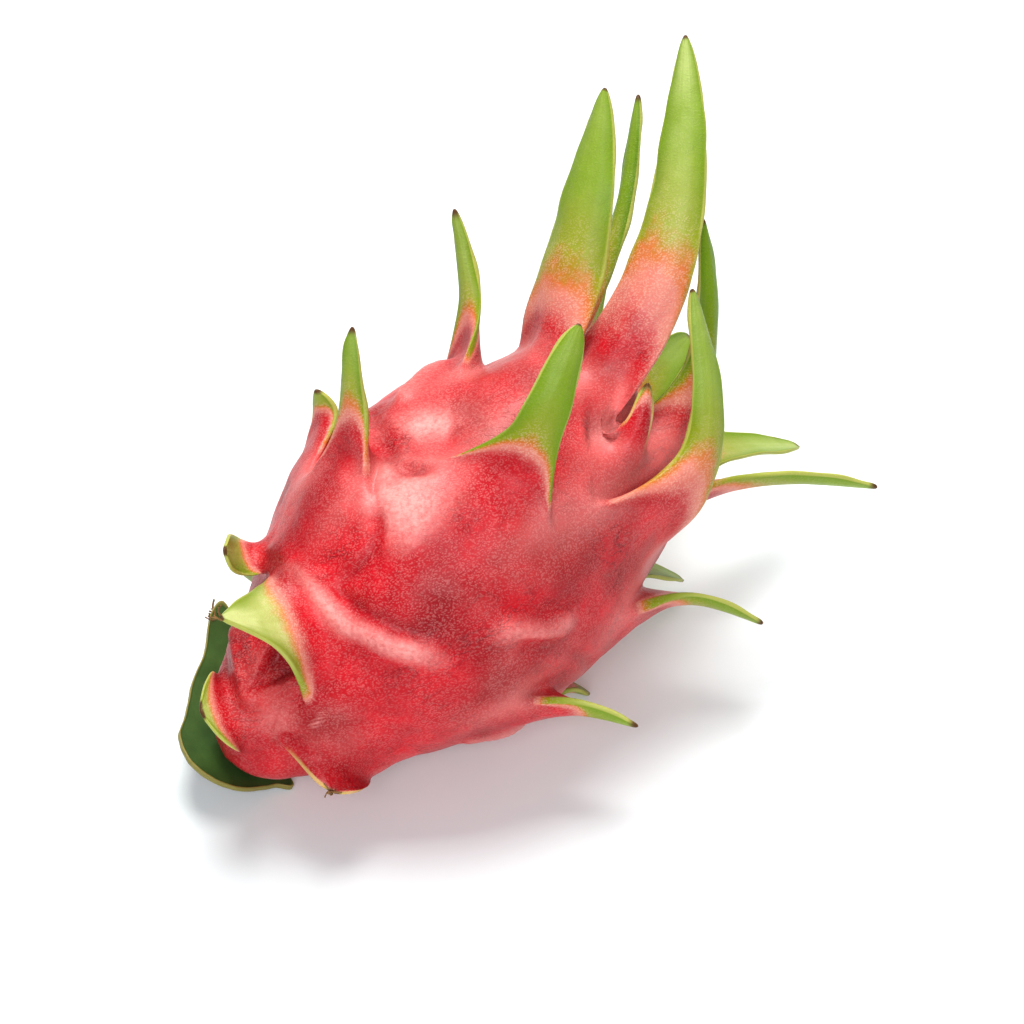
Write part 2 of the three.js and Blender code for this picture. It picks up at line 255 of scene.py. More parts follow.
def mesh_object(
    name: str,
    points: np.ndarray,
    faces: Sequence[Sequence[int]],
    values: Mapping[str, np.ndarray] | None = None,
) -> bpy.types.Object:
    """Make a smooth-shaded mesh object at the origin.

    Args:
        name: of the object and its mesh.
        points: corners in millimetres.
        faces: loops of corner numbers, counter-clockwise from outside.
        values: numbers or vectors kept at the corners, by name.

    Returns:
        The object, in the scene.
    """
    mesh = bpy.data.meshes.new(name)
    mesh.from_pydata((np.asarray(points) * MM).tolist(), [], [list(face) for face in faces])
    for key, value in (values or {}).items():
        kind, slot = ("FLOAT_VECTOR", "vector") if value.ndim > 1 else ("FLOAT", "value")
        attribute = mesh.attributes.new(key, kind, "POINT")
        attribute.data.foreach_set(slot, value.astype(np.float32).ravel())
    mesh.shade_smooth()
    made = bpy.data.objects.new(name, mesh)
    bpy.context.scene.collection.objects.link(made)
    return made


def plain_mesh(source: bpy.types.Object, name: str) -> bpy.types.Object:
    """Turn an object with modifiers into one with a plain mesh, and remove the source.

    Args:
        source: object whose modifiers are all to be applied.
        name: of the new object.

    Returns:
        The new object.
    """
    bpy.context.view_layer.update()
    view = source.evaluated_get(bpy.context.evaluated_depsgraph_get())
    mesh = bpy.data.meshes.new_from_object(view)
    old = source.data
    bpy.data.objects.remove(source)
    bpy.data.meshes.remove(old)
    mesh.name = name
    mesh.shade_smooth()
    made = bpy.data.objects.new(name, mesh)
    bpy.context.scene.collection.objects.link(made)
    return made


def read_values(mesh: bpy.types.Mesh, key: str) -> np.ndarray:
    """Numbers or vectors that a mesh keeps at its corners.

    Args:
        mesh: where they are.
        key: their name.

    Returns:
        One number or one vector a corner.
    """
    attribute = mesh.attributes[key]
    wide = 3 if attribute.data_type == "FLOAT_VECTOR" else 1
    values = np.empty(len(mesh.vertices) * wide, np.float32)
    attribute.data.foreach_get("vector" if wide == 3 else "value", values)
    return values.reshape(-1, 3).astype(float) if wide == 3 else values.astype(float)


def read_points(mesh: bpy.types.Mesh) -> tuple[np.ndarray, np.ndarray]:
    """Corners and normals of a mesh.

    Args:
        mesh: what to read.

    Returns:
        Corners in millimetres, and unit normals.
    """
    points = np.empty(len(mesh.vertices) * 3, np.float32)
    mesh.vertices.foreach_get("co", points)
    normals = np.empty(len(mesh.vertices) * 3, np.float32)
    mesh.vertex_normals.foreach_get("vector", normals)
    return points.reshape(-1, 3) / MM, normals.reshape(-1, 3).astype(float)


def write_points(mesh: bpy.types.Mesh, points: np.ndarray) -> None:
    """Move the corners of a mesh to places in millimetres."""
    mesh.vertices.foreach_set("co", (points * MM).astype(np.float32).ravel())
    mesh.update()


def write_values(mesh: bpy.types.Mesh, key: str, values: np.ndarray) -> None:
    """Keep one number at each corner of a mesh, under a name that materials read."""
    attribute = mesh.attributes.new(key, "FLOAT", "POINT")
    attribute.data.foreach_set("value", values.astype(np.float32))


def curve_point(line: np.ndarray, share: float) -> np.ndarray:
    """Point of a cubic curve from its four control points."""
    rest = 1 - share
    weights = (rest**3, 3 * rest**2 * share, 3 * rest * share**2, share**3)
    return np.array(weights) @ line


def curve_slope(line: np.ndarray, share: float) -> np.ndarray:
    """Direction of a cubic curve from its four control points, not of length 1."""
    rest = 1 - share
    weights = (rest**2, 2 * rest * share, share**2)
    return np.array(weights) @ np.diff(line, axis=0)


class Assembly:
    """A part of the object, which builds its mesh and dresses it."""

    slot: str
    node: str | None = None

    def dress(self, piece: bpy.types.Object, material: bpy.types.Material) -> None:
        """Give a piece its material and join it to the frame.

        Args:
            piece: the finished mesh of this assembly.
            material: its finish.
        """
        piece.data.materials.clear()
        piece.data.materials.append(material)
        if self.node:
            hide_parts(self.node)
        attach(piece, "root")
        log.info("%s: %d faces", piece.name, len(piece.data.polygons))


# ---- the plain body -------------------------------------------------------------------------


class Frames(NamedTuple):
    """Places on the plain body, with their directions."""

    point: np.ndarray
    tangent: np.ndarray
    normal: np.ndarray
    radius: np.ndarray
    station: np.ndarray


@dataclass
class PlainBody:
    """The fruit without its scales: a smooth outline turned about an axis that rises."""

    length: float = 144.0
    radius: float = 46.0
    rise: float = 23.0
    rest_station: float = 53.0
    rest_clip: float = 1.2
    outline: tuple[tuple[float, float], ...] = (
        (0, 0), (0.008, 0.1), (0.03, 0.24), (0.1, 0.41), (0.2, 0.59), (0.33, 0.81), (0.47, 0.96),
        (0.61, 0.955), (0.74, 0.835), (0.85, 0.685), (0.93, 0.55), (0.985, 0.42), (0.985, 0.3),
        (0.94, 0.2), (0.91, 0.1), (0.905, 0),
    )  # fmt: skip
    samples: int = 3200
    pole_share: float = 0.004
    slope_step: float = 0.3
    axis: np.ndarray = field(init=False)
    top: np.ndarray = field(init=False)
    front: np.ndarray = field(init=False)
    scar: np.ndarray = field(init=False)
    arcs: np.ndarray = field(init=False)
    stations: np.ndarray = field(init=False)
    radii: np.ndarray = field(init=False)

    def __post_init__(self) -> None:
        """Lay the outline through its points and place the stem scar."""
        rise = math.radians(self.rise)
        self.axis = np.array([math.cos(rise), 0, math.sin(rise)])
        self.top = np.array([-math.sin(rise), 0, math.cos(rise)])
        self.front = np.array([0.0, -1.0, 0.0])
        knots = np.array(self.outline) * [self.length, self.radius]
        knots = np.vstack([knots[:1], knots, knots[-1:]])
        place = np.linspace(0, len(self.outline) - 1, self.samples)
        start = np.minimum(place.astype(int), len(self.outline) - 2)
        w = (place - start)[:, None]
        before, near, far, after = (knots[start + k] for k in range(4))
        leave, arrive = (far - before) / 2, (after - near) / 2
        line = (
            (2 * near - 2 * far + leave + arrive) * w**3
            + (3 * far - 3 * near - 2 * leave - arrive) * w**2
            + leave * w
            + near
        )
        steps = np.hypot(*np.diff(line, axis=0).T)
        self.arcs = np.concatenate([[0], np.cumsum(steps)])
        self.stations, self.radii = line.T
        rim = int(np.argmax(self.stations))
        belly = np.interp(self.rest_station, self.stations[:rim], self.radii[:rim])
        self.scar = self.outward(math.pi) * -belly - self.axis * self.rest_station
        self.scar[2] -= self.rest_clip

    @property
    def arc_length(self) -> float:
        """Distance along the outline from the stem scar to the bottom of the navel."""
        return float(self.arcs[-1])

    def outward(self, angle: np.ndarray | float) -> np.ndarray:
        """Direction away from the axis at an angle."""
        angle = np.asarray(angle, float)[..., None]
        return self.top * np.cos(angle) + self.front * np.sin(angle)

    def around(self, angle: np.ndarray | float) -> np.ndarray:
        """Direction round the axis at an angle."""
        angle = np.asarray(angle, float)[..., None]
        return self.front * np.cos(angle) - self.top * np.sin(angle)

    def place(self, station: float, angle: float, radius: float) -> np.ndarray:
        """Point at a distance along the axis, an angle round it and a distance from it."""
        return self.scar + self.axis * station + self.outward(angle) * radius

    def frames(self, arc: np.ndarray, angle: np.ndarray) -> Frames:
        """Points of the plain body.

        Args:
            arc: distances along the outline from the stem scar.
            angle: angles round the axis in radians, 0 on top.

        Returns:
            The points, their crownward tangents, outward normals and radii.
        """
        arc = np.clip(np.asarray(arc, float), 0, self.arc_length)
        station = np.interp(arc, self.arcs, self.stations)
        radius = np.interp(arc, self.arcs, self.radii)
        pole = self.pole_share * self.arc_length
        inner = np.clip(arc, pole, (1 - self.pole_share) * self.arc_length)
        step = self.slope_step
        along = np.interp(inner + step, self.arcs, self.stations)
        along -= np.interp(inner - step, self.arcs, self.stations)
        out = np.interp(inner + step, self.arcs, self.radii)
        out -= np.interp(inner - step, self.arcs, self.radii)
        size = np.hypot(along, out)
        along, out = (along / size)[..., None], (out / size)[..., None]
        away = self.outward(angle)
        point = self.scar + self.axis * station[..., None] + away * radius[..., None]
        tangent = self.axis * along + away * out
        normal = away * along - self.axis * out
        return Frames(point, tangent, normal, radius, station)

    def floor_radius(self, station: float, degrees: float, clear: float) -> float:
        """Radius at which a tip stands on the floor.

        Args:
            station: distance along the axis.
            degrees: angle round the axis.
            clear: height of the tip's middle over the floor.

        Returns:
            Distance from the axis.
        """
        height = self.scar[2] + self.axis[2] * station - clear
        return float(height / -self.outward(math.radians(degrees))[2])


# ---- the scales -----------------------------------------------------------------------------


@dataclass(frozen=True)
class Scale:
    """One leaf-like scale. Lengths are millimetres and angles degrees.

    base is the distance along the outline and the angle round the axis, and tip the distance
    along the axis, the angle and the radius; without one, advance and rise place it. span is half
    the width of the base, arch how far its middle stands crownward, gap how thick it is there,
    half the blade's half width and taper how fast that narrows. swell, reach, rib and axil are
    the swelling under the base and the hollow above it. The last fields say how far up the blade
    the pink reaches, how deep the green is, how chalky its wax, how many millimetres of the tip
    have dried, and how wavy the margins are.
    """

    base: tuple[float, float] = (0.0, 0.0)
    tip: tuple[float, float, float] | None = None
    span: float = 14.0
    arch: float = 8.0
    slant: float = 0.0
    gap: float = 5.0
    lift: float = 45.0
    half: float = 7.5
    taper: float = 0.5
    cup: float = 0.25
    flare: float = 0.4
    turn: float = 0.0
    swell: float = 6.0
    reach: float = 34.0
    rib: float = 2.0
    axil: float = -2.2
    advance: float = 22.0
    rise: float = 28.0
    blush: float = 0.36
    lush: float = 0.35
    chalk: float = 0.25
    burnt: float = 2.5
    wave: float = 0.5


class Family(Enum):
    """Shared proportions of the scales that grow on one part of the fruit."""

    CROWN = Scale(lift=55, half=9, taper=0.42, cup=0.3, swell=5, advance=42, rise=34)
    SHOULDER = Scale(advance=22, rise=28)
    FLANK = Scale(
        span=11, arch=7, gap=4.5, lift=50, half=6, taper=0.6, reach=32, advance=12, rise=22
    )
    BASAL = Scale(
        span=15, arch=6, gap=4, lift=120, half=11, taper=0.8, cup=0.1, flare=0.6, swell=-3,
        reach=16, rib=0, axil=2.2, advance=-14, rise=14,
    )  # fmt: skip

    def grown(
        self,
        base: tuple[float, float],
        tip: tuple[float, float, float] | None = None,
        **own: float,
    ) -> Scale:
        """A scale of this family.

        Args:
            base: distance along the outline from the stem scar, and angle.
            tip: distance along the axis, angle and radius.
            own: fields in which it differs from its family.

        Returns:
            The scale.
        """
        return replace(self.value, base=base, tip=tip, **own)


def fruit_scales(body: PlainBody) -> list[Scale]:
    """The scales of this fruit, from the crown to the stem end.

    Args:
        body: the plain body, which tells where the floor is.

    Returns:
        Every scale.
    """
    crown, shoulder, flank, basal = Family.CROWN, Family.SHOULDER, Family.FLANK, Family.BASAL
    foot = 0.8  # height of a resting tip's middle over the floor
    feet = [
        flank.grown((94, side), (84, side, body.floor_radius(84, side, foot)))
        for side in (152.0, 208.0)
    ]
    return [
        crown.grown((154, -20), (183, -28, 72), span=12, lift=68, half=11.5, taper=0.55, cup=0.35,
                    flare=0.35, turn=30, blush=0.3, lush=0.4, chalk=0.2, burnt=1.2),
        crown.grown((163, 12), (206, -22, 72), span=10, lift=72, half=10.4, taper=0.5, flare=0.35,
                    turn=12, blush=0.38, lush=0.45, chalk=0.46, burnt=1.2),
        crown.grown((164, -52), (197, -57, 61), span=7, arch=3, lift=64, half=4, turn=40, blush=0.3,
                    lush=0.9, chalk=0.1, burnt=3),
        crown.grown((164, 66), (182, -10, 33), span=7, arch=3, half=5.5, blush=0.3, lush=0.9,
                    chalk=0.05, burnt=2),
        crown.grown((142, 84), (164, 20, 42), half=6.3, span=14, slant=8, taper=0.5, turn=-35,
                    blush=0.34, lush=0.2, chalk=0.3, burnt=1.2),
        crown.grown((156, 52), (141, 34, 35), half=4, span=6, arch=3, gap=3, blush=0.95, lush=0.4,
                    chalk=0, burnt=3),
        crown.grown((154, 128), span=8.5, arch=5, half=8),
        crown.grown((154, 174), span=8.5, arch=5, half=8.5, chalk=0.5),
        crown.grown((154, 220), span=8.5, arch=5, half=8, lush=0.5),
        crown.grown((154, 266), span=8.5, arch=5, half=8.5, chalk=0.45),
        shoulder.grown((117, 28), (133, 16, 66), span=13, slant=5, lift=84, half=7, taper=0.37,
                       cup=0.17, flare=0.3, turn=28, blush=0.24, lush=0.4, chalk=0.16, burnt=0.6),
        shoulder.grown((134, -48), (137, -45, 69), half=4.0, lift=74, span=11, turn=55, blush=0.3,
                       lush=0.35, chalk=0.3),
        shoulder.grown((124, 128)),
        shoulder.grown((122, 172), lush=0.5),
        shoulder.grown((126, 214)),
        shoulder.grown((120, 256), rise=22, lush=0.5),
        flank.grown((93, -14), (93, -17, 74), half=4.8, lift=78, span=9, turn=35, blush=0.45,
                    lush=0.5, chalk=0.2),
        flank.grown((91, -45), (79, -42, 57), half=5.5, span=9, swell=3, turn=45, blush=0.5,
                    lush=0.3, burnt=1.5),
        *feet,
        flank.grown((88, 106)),
        flank.grown((88, 258), rise=18),
        basal.grown((56, -37), (34, -20, 47), span=8, arch=2, slant=-2, half=7.5, taper=0.36,
                    turn=-50, blush=0.42, chalk=0.4, burnt=0.4),
        basal.grown((56, 13), (22, 9, 57), span=19, arch=9, slant=-10, half=16, flare=0.8,
                    swell=-6, reach=24, blush=0.38, lush=0.3, chalk=1.5, burnt=1),
        basal.grown((20, 8), (3.5, 6, 26), lift=108, span=12, slant=-4, arch=2, half=14, taper=0.5,
                    turn=-25, flare=0.5, blush=0.66, lush=0.1, chalk=0.6, burnt=0.5),
        basal.grown((36, 92), (15, 84, 33), lift=112, span=18, slant=5, arch=4, half=17,
                    taper=0.65, cup=0.05, flare=1, turn=60, swell=-9, reach=30, axil=4, blush=1.25,
                    burnt=1),
        basal.grown((56, -96), advance=-6, rise=12, span=11, half=8),
    ]  # fmt: skip


@dataclass(frozen=True)
class Fold:
    """A ridge, crease or dent of the peel along a line, or round one point.

    path holds distances along the outline and angles in degrees. width and height are
    millimetres, and height is below 0 for a crease. flush says how pale the
    skin is painted there, mostly a painted sheen on ridges and pale pillows, and below 0 how deep
    a red, a painted shade in creases and dark patches; the thin pale line at the stem end is a
    real scratch.
    """

    path: tuple[tuple[float, float], ...]
    width: float
    height: float
    flush: float = 0.0

    def share(self, body: PlainBody, points: np.ndarray) -> np.ndarray:
        """How strongly the fold acts at points.

        Args:
            body: the plain body that carries its line.
            points: places in millimetres.

        Returns:
            1 on the line, falling to 0 beside it and towards its ends.
        """
        knots = np.array(self.path, float)
        steps = np.linspace(0, len(knots) - 1, 12 * (len(knots) - 1) + 1)
        arc = np.interp(steps, range(len(knots)), knots[:, 0])
        angle = np.radians(np.interp(steps, range(len(knots)), knots[:, 1]))
        line = body.frames(arc, angle).point
        gap = np.full(len(points), 1e9)
        along = np.zeros(len(points))
        for step, place in zip(steps, line):
            apart = np.linalg.norm(points - place, axis=1)
            nearer = apart < gap
            gap = np.where(nearer, apart, gap)
            along = np.where(nearer, step, along)
        ends = 1.0
        if len(knots) > 1:
            along = along / steps[-1]
            ends = smooth(0, 0.2, along) * smooth(1, 0.8, along)
        return np.exp(-((gap / self.width) ** 2)) * ends


# Each fold also paints the skin paler or a deeper red: painted sheen on what stands up, painted
# shade in creases.
FOLDS = (
    Fold(((90, -8), (86, 6), (82, 13), (77, 17), (70, 17), (64, 15)), 1.7, -1.3, -0.7),
    Fold(((100, -5), (93, -2), (87, 3), (82, 9)), 3.2, 0.9, 0.6),
    Fold(((56, -12), (58, -4), (59, 9), (59, 19), (59, 28), (62, 37), (65, 46), (70, 55), (75, 68)),
         3.2, 1.6, 1.3),
    Fold(((63, 13), (64, 23), (66, 32), (70, 43), (75, 53)), 1.8, -1.3, -0.5),
    Fold(((58, -36), (60, -9), (62, 6), (64, 16)), 2.0, 0.9, -0.2),
    Fold(((105, -44), (98, -14), (96, -2), (98, 5), (103, 13)), 1.8, -1.9, -1.0),
    Fold(((113, -8),), 12.0, -2.2, 0.3),
    Fold(((91, 2), (87, 13), (88, 28)), 8.0, 0.6, 0.7),
    Fold(((92, 12),), 6.0, 0.0, 0.35),
    Fold(((103, -12), (110, -12), (116, -6)), 6.0, 0.3, 0.6),
    Fold(((120, 48),), 16.0, 0.0, -0.35),
    Fold(((116, 40), (123, 34)), 8.0, 0.0, -0.4),
    Fold(((26, 42),), 6.0, 0.3, 0.5),
    Fold(((98, 17),), 10.0, 0.6, 0.45),
    Fold(((46, 52),), 14.0, 1.6, 0.05),
    Fold(((73, 36),), 15.0, 1.4, -0.2),
    Fold(((74, -8),), 11.0, 1.3, -0.35),
    Fold(((37, 4), (38, 14), (36, 26)), 7.0, -3.6, -1.3),
    Fold(((38, -40), (31, -14), (26, 7), (24, 24)), 2.0, 1.5, 0.1),
    Fold(((29, -50), (25, -18), (21, 4), (18, 20)), 1.6, -1.2, -0.4),
    Fold(((24, 46), (27, 62), (28, 84), (33, 107), (40, 126)), 1.8, -1.0, -0.5),
    Fold(((95, -36), (88, -14), (81, -4)), 3.0, 1.2, 0.3),
    Fold(((129, -52), (118, -41), (107, -27)), 3.0, 2.0, 0.7),
    Fold(((68, -48), (76, -43)), 2.6, -0.4, -1.2),
    Fold(((140, 30), (150, 44)), 5.0, -1.8, -1.2),
    Fold(((40, 50), (37, 55), (33, 58)), 0.5, 0.1, 0.9),
    Fold(((86, 60), (96, 76), (108, 84)), 3.2, 1.3, 0.7),
    Fold(((88, 66), (99, 90), (104, 118)), 2.0, -1.1, -0.5),
    Fold(((60, 110), (78, 124), (96, 128)), 3.0, 1.2, 0.6),
    Fold(((52, 140), (70, 150), (84, 168)), 1.8, -1.0, -0.4),
    Fold(((48, 200), (66, 214), (84, 232)), 3.0, 1.1, 0.5),
    Fold(((40, 236), (60, 244), (80, 262)), 1.8, -1.1, -0.5),
    Fold(((96, 282), (110, 296), (124, 300)), 3.2, 1.3, 0.6),
    Fold(((62, 284), (78, 292), (96, 310)), 2.0, -1.2, -0.5),
    Fold(((50, 270), (64, 280)), 10.0, 1.3, -0.2),
    Fold(((104, 236), (112, 244)), 9.0, -1.4, 0.2),
)  # fmt: skip


class Relief(NamedTuple):
    """Height of the peel over the plain body, and how much of it is a rib."""

    height: np.ndarray
    ridge: np.ndarray


@dataclass
class PlacedScale:
    """A scale on the grid of the peel."""

    form: Scale
    arc: float
    angle: float
    radius: float
    row: int
    middle: int
    reach_columns: int
    nudge: float

    @property
    def columns(self) -> list[int]:
        """Grid columns that its base takes, before they are wrapped round."""
        return list(range(self.middle - self.reach_columns, self.middle + self.reach_columns + 1))


@dataclass
class Peel(Assembly):
    """The leathery peel and its scales, one closed skin.

    Each of sways is a wave round the body: how many lobes, its height and its pitch along the
    outline. wave_height is that of a margin's waves and wave_end where they end, and ripples
    holds their pitches. Each of lumps and ragged is a layer of noise: its size, its seed and its
    strength. arms says how much riper the margins are on short and on long blades, and
    arm_lengths which those are. red_base is how much of a blade's middle stays red, and navel
    where the outline turns in.
    """

    body: PlainBody
    slot: str = "peel"
    node: str = "fruit"
    columns: int = 54
    rows: int = 42
    warp_rows: float = 5.0
    warp_columns: float = 3.5
    margin_thickness: float = 0.95
    base_thickness: float = 3.6
    tip_thickness: float = 1.2
    corner_thickness: float = 1.8
    tip_half_width: float = 0.5
    pinch: float = 0.5
    pinch_power: int = 14
    thinning_power: float = 1.5
    root_pull: float = 0.38
    tip_pull: float = 0.33
    length_samples: int = 201
    ring_step: float = 4.9
    ring_crowding: float = 1.35
    axil_reach: float = 12.0
    rib_width: float = 5.0
    deepest: float = -8.0
    stem_fade: float = 14.0
    crown_fade: float = 30.0
    sways: tuple[tuple[int, float, float], ...] = ((3, 0.6, 19.0), (5, 0.5, -13.0))
    wave_height: float = 0.6
    wave_end: float = 0.85
    ripples: tuple[float, float] = (5.3, 2.4)
    vein_height: float = 0.03
    veins: float = 13.0
    lumps: tuple[tuple[float, float, float], ...] = ((13, 3.1, 0.8), (5, 8.2, 0.25))
    # lumps that stand up are painted paler and sunk ones a deeper red: painted sheen and painted
    # shade
    lump_sheen_and_shade: float = 0.3
    fold_gain: float = 1.35
    resting: tuple[float, float] = (0.05, 3.0)
    ragged: tuple[tuple[float, float, float], ...] = ((9, 5.5, 0.05), (3, 1.5, 0.03))
    arms: tuple[float, float] = (0.3, 0.1)
    arm_lengths: tuple[float, float] = (40.0, 80.0)
    ripening_span: float = 0.7
    red_base: float = 12.0
    pale_edge: float = 0.92
    dried_raggedness: float = 14.0
    navel: tuple[float, float] = (168.0, 178.0)
    phase_step: float = 1.7
    levels: int = 2
    margin_crease: float = 0.4
    points: list[np.ndarray] = field(default_factory=list)
    faces: list[tuple[int, ...]] = field(default_factory=list)
    margins: list[tuple[int, int]] = field(default_factory=list)
    values: dict[str, list[object]] = field(default_factory=dict)

    KEYS = (
        "arc", "share", "across", "side", "blade", "reach_mm", "blush", "lush", "chalk", "burnt",
        "wave", "phase",
    )  # fmt: skip

    def place_scale(self, form: Scale) -> PlacedScale:
        """Put a scale on the grid."""
        arc, angle = form.base[0], math.radians(form.base[1])
        radius = float(self.body.frames(np.array(arc), np.array(angle)).radius)
        step = 2 * math.pi / self.columns
        middle = math.floor(angle / step + 0.5)
        return PlacedScale(
            form,
            arc,
            angle,
            radius,
            row=math.floor(arc / (self.body.arc_length / self.rows)),
            middle=middle,
            reach_columns=max(2, math.floor(form.span / (radius * step) + 0.5)),
            nudge=angle - middle * step,
        )

    def warp(
        self, scale: PlacedScale, row: np.ndarray, column: np.ndarray
    ) -> tuple[np.ndarray, np.ndarray]:
        """How far grid points move so that the rows at a scale's base follow its lips.

        Args:
            scale: the scale.
            row: rows of the points.
            column: columns of the points.

        Returns:
            Moves along the outline and round the axis.
        """
        form = scale.form
        step = 2 * math.pi / self.columns
        offset = angle_between(column * step, scale.middle * step) / step
        across = offset / scale.reach_columns
        beyond = np.maximum(0, np.abs(offset) - scale.reach_columns)
        below = row <= scale.row
        lip_row = np.where(below, scale.row, scale.row + 1)
        fall = hump((row - lip_row) / self.warp_rows) * hump(beyond / self.warp_columns)
        bow = np.minimum(1, across * across)
        opening = (form.gap + (self.corner_thickness - form.gap) * bow) / 2
        slant = form.slant * np.clip(across, -1, 1)
        lip = scale.arc - form.arch * bow + slant + np.where(below, -opening, opening)
        row_step = self.body.arc_length / self.rows
        return (lip - lip_row * row_step) * fall, scale.nudge * fall

    def relief(
        self, scales: Sequence[PlacedScale], row: np.ndarray, arc: np.ndarray, angle: np.ndarray
    ) -> Relief:
        """Height of the peel over the plain body.

        Args:
            scales: all scales.
            row: rows of the points.
            arc: distances along the outline.
            angle: angles round the axis.

        Returns:
            The height, and the ribs in it.
        """
        raised = np.zeros_like(arc)
        ridge = np.zeros_like(arc)
        sunk = np.zeros_like(arc)
        for scale in scales:
            form = scale.form
            sideways = angle_between(angle, scale.angle) * scale.radius
            across = sideways / form.span
            bounded = np.clip(across, -1, 1)
            below = scale.arc - form.arch * bounded**2 + form.slant * bounded - arc
            stemward = row <= scale.row
            reach = np.where(stemward, form.reach, self.axil_reach)
            along = np.clip(np.abs(below) / reach, 0, 1)
            fade = (1 - along) ** 2 * np.exp(-1.5 * across**2)
            height = np.where(stemward, form.swell, form.axil) * fade
            off_rib = (np.abs(sideways) - form.span) / self.rib_width
            rib = np.where(stemward, form.rib * np.exp(-(off_rib**2)) * (1 - along) ** 2, 0)
            raised += np.maximum(0, height) ** 3 + rib**3
            ridge += rib
            sunk += np.minimum(0, height)
        length = self.body.arc_length
        ends = np.minimum(1, arc / self.stem_fade) * np.minimum(1, (length - arc) / self.crown_fade)
        sway = sum(
            high * np.sin(lobes * angle + arc / pitch) for lobes, high, pitch in self.sways
        )
        height = (np.cbrt(raised) + np.maximum(sunk, self.deepest) + sway) * ends
        return Relief(height, ridge)

    def add_point(self, point: np.ndarray, **values: float) -> int:
        """Keep a corner of the cage.

        Args:
            point: where it is.
            values: what is known there; the rest is 0.

        Returns:
            Its number.
        """
        self.points.append(np.asarray(point, float))
        for key in self.KEYS:
            self.values.setdefault(key, []).append(values.get(key, 0.0))
        return len(self.points) - 1

    def build_grid(self, scales: Sequence[PlacedScale]) -> np.ndarray:
        """Lay the grid of the body and its faces, leaving the scales' bases open.

        Args:
            scales: all scales.

        Returns:
            Point numbers by row and column.
        """
        row, column = np.meshgrid(np.arange(self.rows + 1), np.arange(self.columns), indexing="ij")
        arc = row * self.body.arc_length / self.rows
        angle = column * 2 * math.pi / self.columns
        moves = [self.warp(scale, row, column) for scale in scales]
        arc = arc + sum(move[0] for move in moves)
        angle = angle + sum(move[1] for move in moves)
        frames = self.body.frames(arc, angle)
        relief = self.relief(scales, row, arc, angle)
        places = frames.point + frames.normal * relief.height[..., None]
        places[..., 2] = np.maximum(places[..., 2], 0)
        grid = np.zeros((self.rows + 1, self.columns), int)
        for r in range(self.rows + 1):
            if r in (0, self.rows):
                end = r / self.rows * self.body.arc_length
                pole = self.body.frames(np.array(end), np.array(0.0))
                grid[r] = self.add_point(pole.point, arc=end)
            else:
                grid[r] = [
                    self.add_point(places[r, c], arc=arc[r, c]) for c in range(self.columns)
                ]
        slits = {
            (scale.row, c % self.columns) for scale in scales for c in scale.columns[:-1]
        }
        for r in range(self.rows):
            for c in range(self.columns):
                after = (c + 1) % self.columns
                if r == 0:
                    self.faces.append((grid[0, 0], grid[1, after], grid[1, c]))
                elif r == self.rows - 1:
                    self.faces.append((grid[r, c], grid[r, after], grid[self.rows, 0]))
                elif (r, c) not in slits:
                    loop = (grid[r, c], grid[r, after], grid[r + 1, after], grid[r + 1, c])
                    self.faces.append(loop)
        return grid

    def midline(self, scale: PlacedScale, root: np.ndarray) -> np.ndarray:
        """Control points of a blade's midline.

        Args:
            scale: the scale.
            root: middle of its base.

        Returns:
            Four points of a cubic curve, from the base to the tip.
        """
        form = scale.form
        frame = self.body.frames(np.array(scale.arc), np.array(scale.angle))
        lift = math.radians(form.lift)
        start = frame.tangent * math.cos(lift) + frame.normal * math.sin(lift)
        tip = form.tip or (
            float(frame.station) + form.advance,
            form.base[1],
            scale.radius + form.rise,
        )
        end = self.body.place(tip[0], math.radians(tip[1]), tip[2])
        length = np.linalg.norm(end - root)
        first = root + start * self.root_pull * length
        second = end - unit(end - first) * self.tip_pull * length
        return np.array([root, first, second, end])

    def blade_offset(
        self, scale: PlacedScale, line: np.ndarray, share: float, across: float, side: int
    ) -> np.ndarray:
        """Offset from the midline to a point of the blade's cross-section.

        Args:
            scale: the scale.
            line: control points of its midline.
            share: place along the midline.
            across: place across the blade, from -1 to 1.
            side: 1 for the outer side, -1 for the inner.

        Returns:
            The offset.
        """
        form = scale.form
        direction = unit(curve_slope(line, share))
        width = self.body.around(scale.angle)
        width = unit(width - direction * (width @ direction))
        width = turned(width, direction, math.radians(form.turn))
        outer = np.cross(width, direction)
        half = self.tip_half_width + (form.half - self.tip_half_width) * (1 - share) ** form.taper
        half *= 1 - self.pinch * share**self.pinch_power
        middle = self.base_thickness + (self.tip_thickness - self.base_thickness) * share
        thinner = abs(across) ** self.thinning_power
        thick = middle + (self.margin_thickness - middle) * thinner
        cupped = -form.cup * half * across * across
        return width * half * across + outer * (cupped + side * thick / 2)

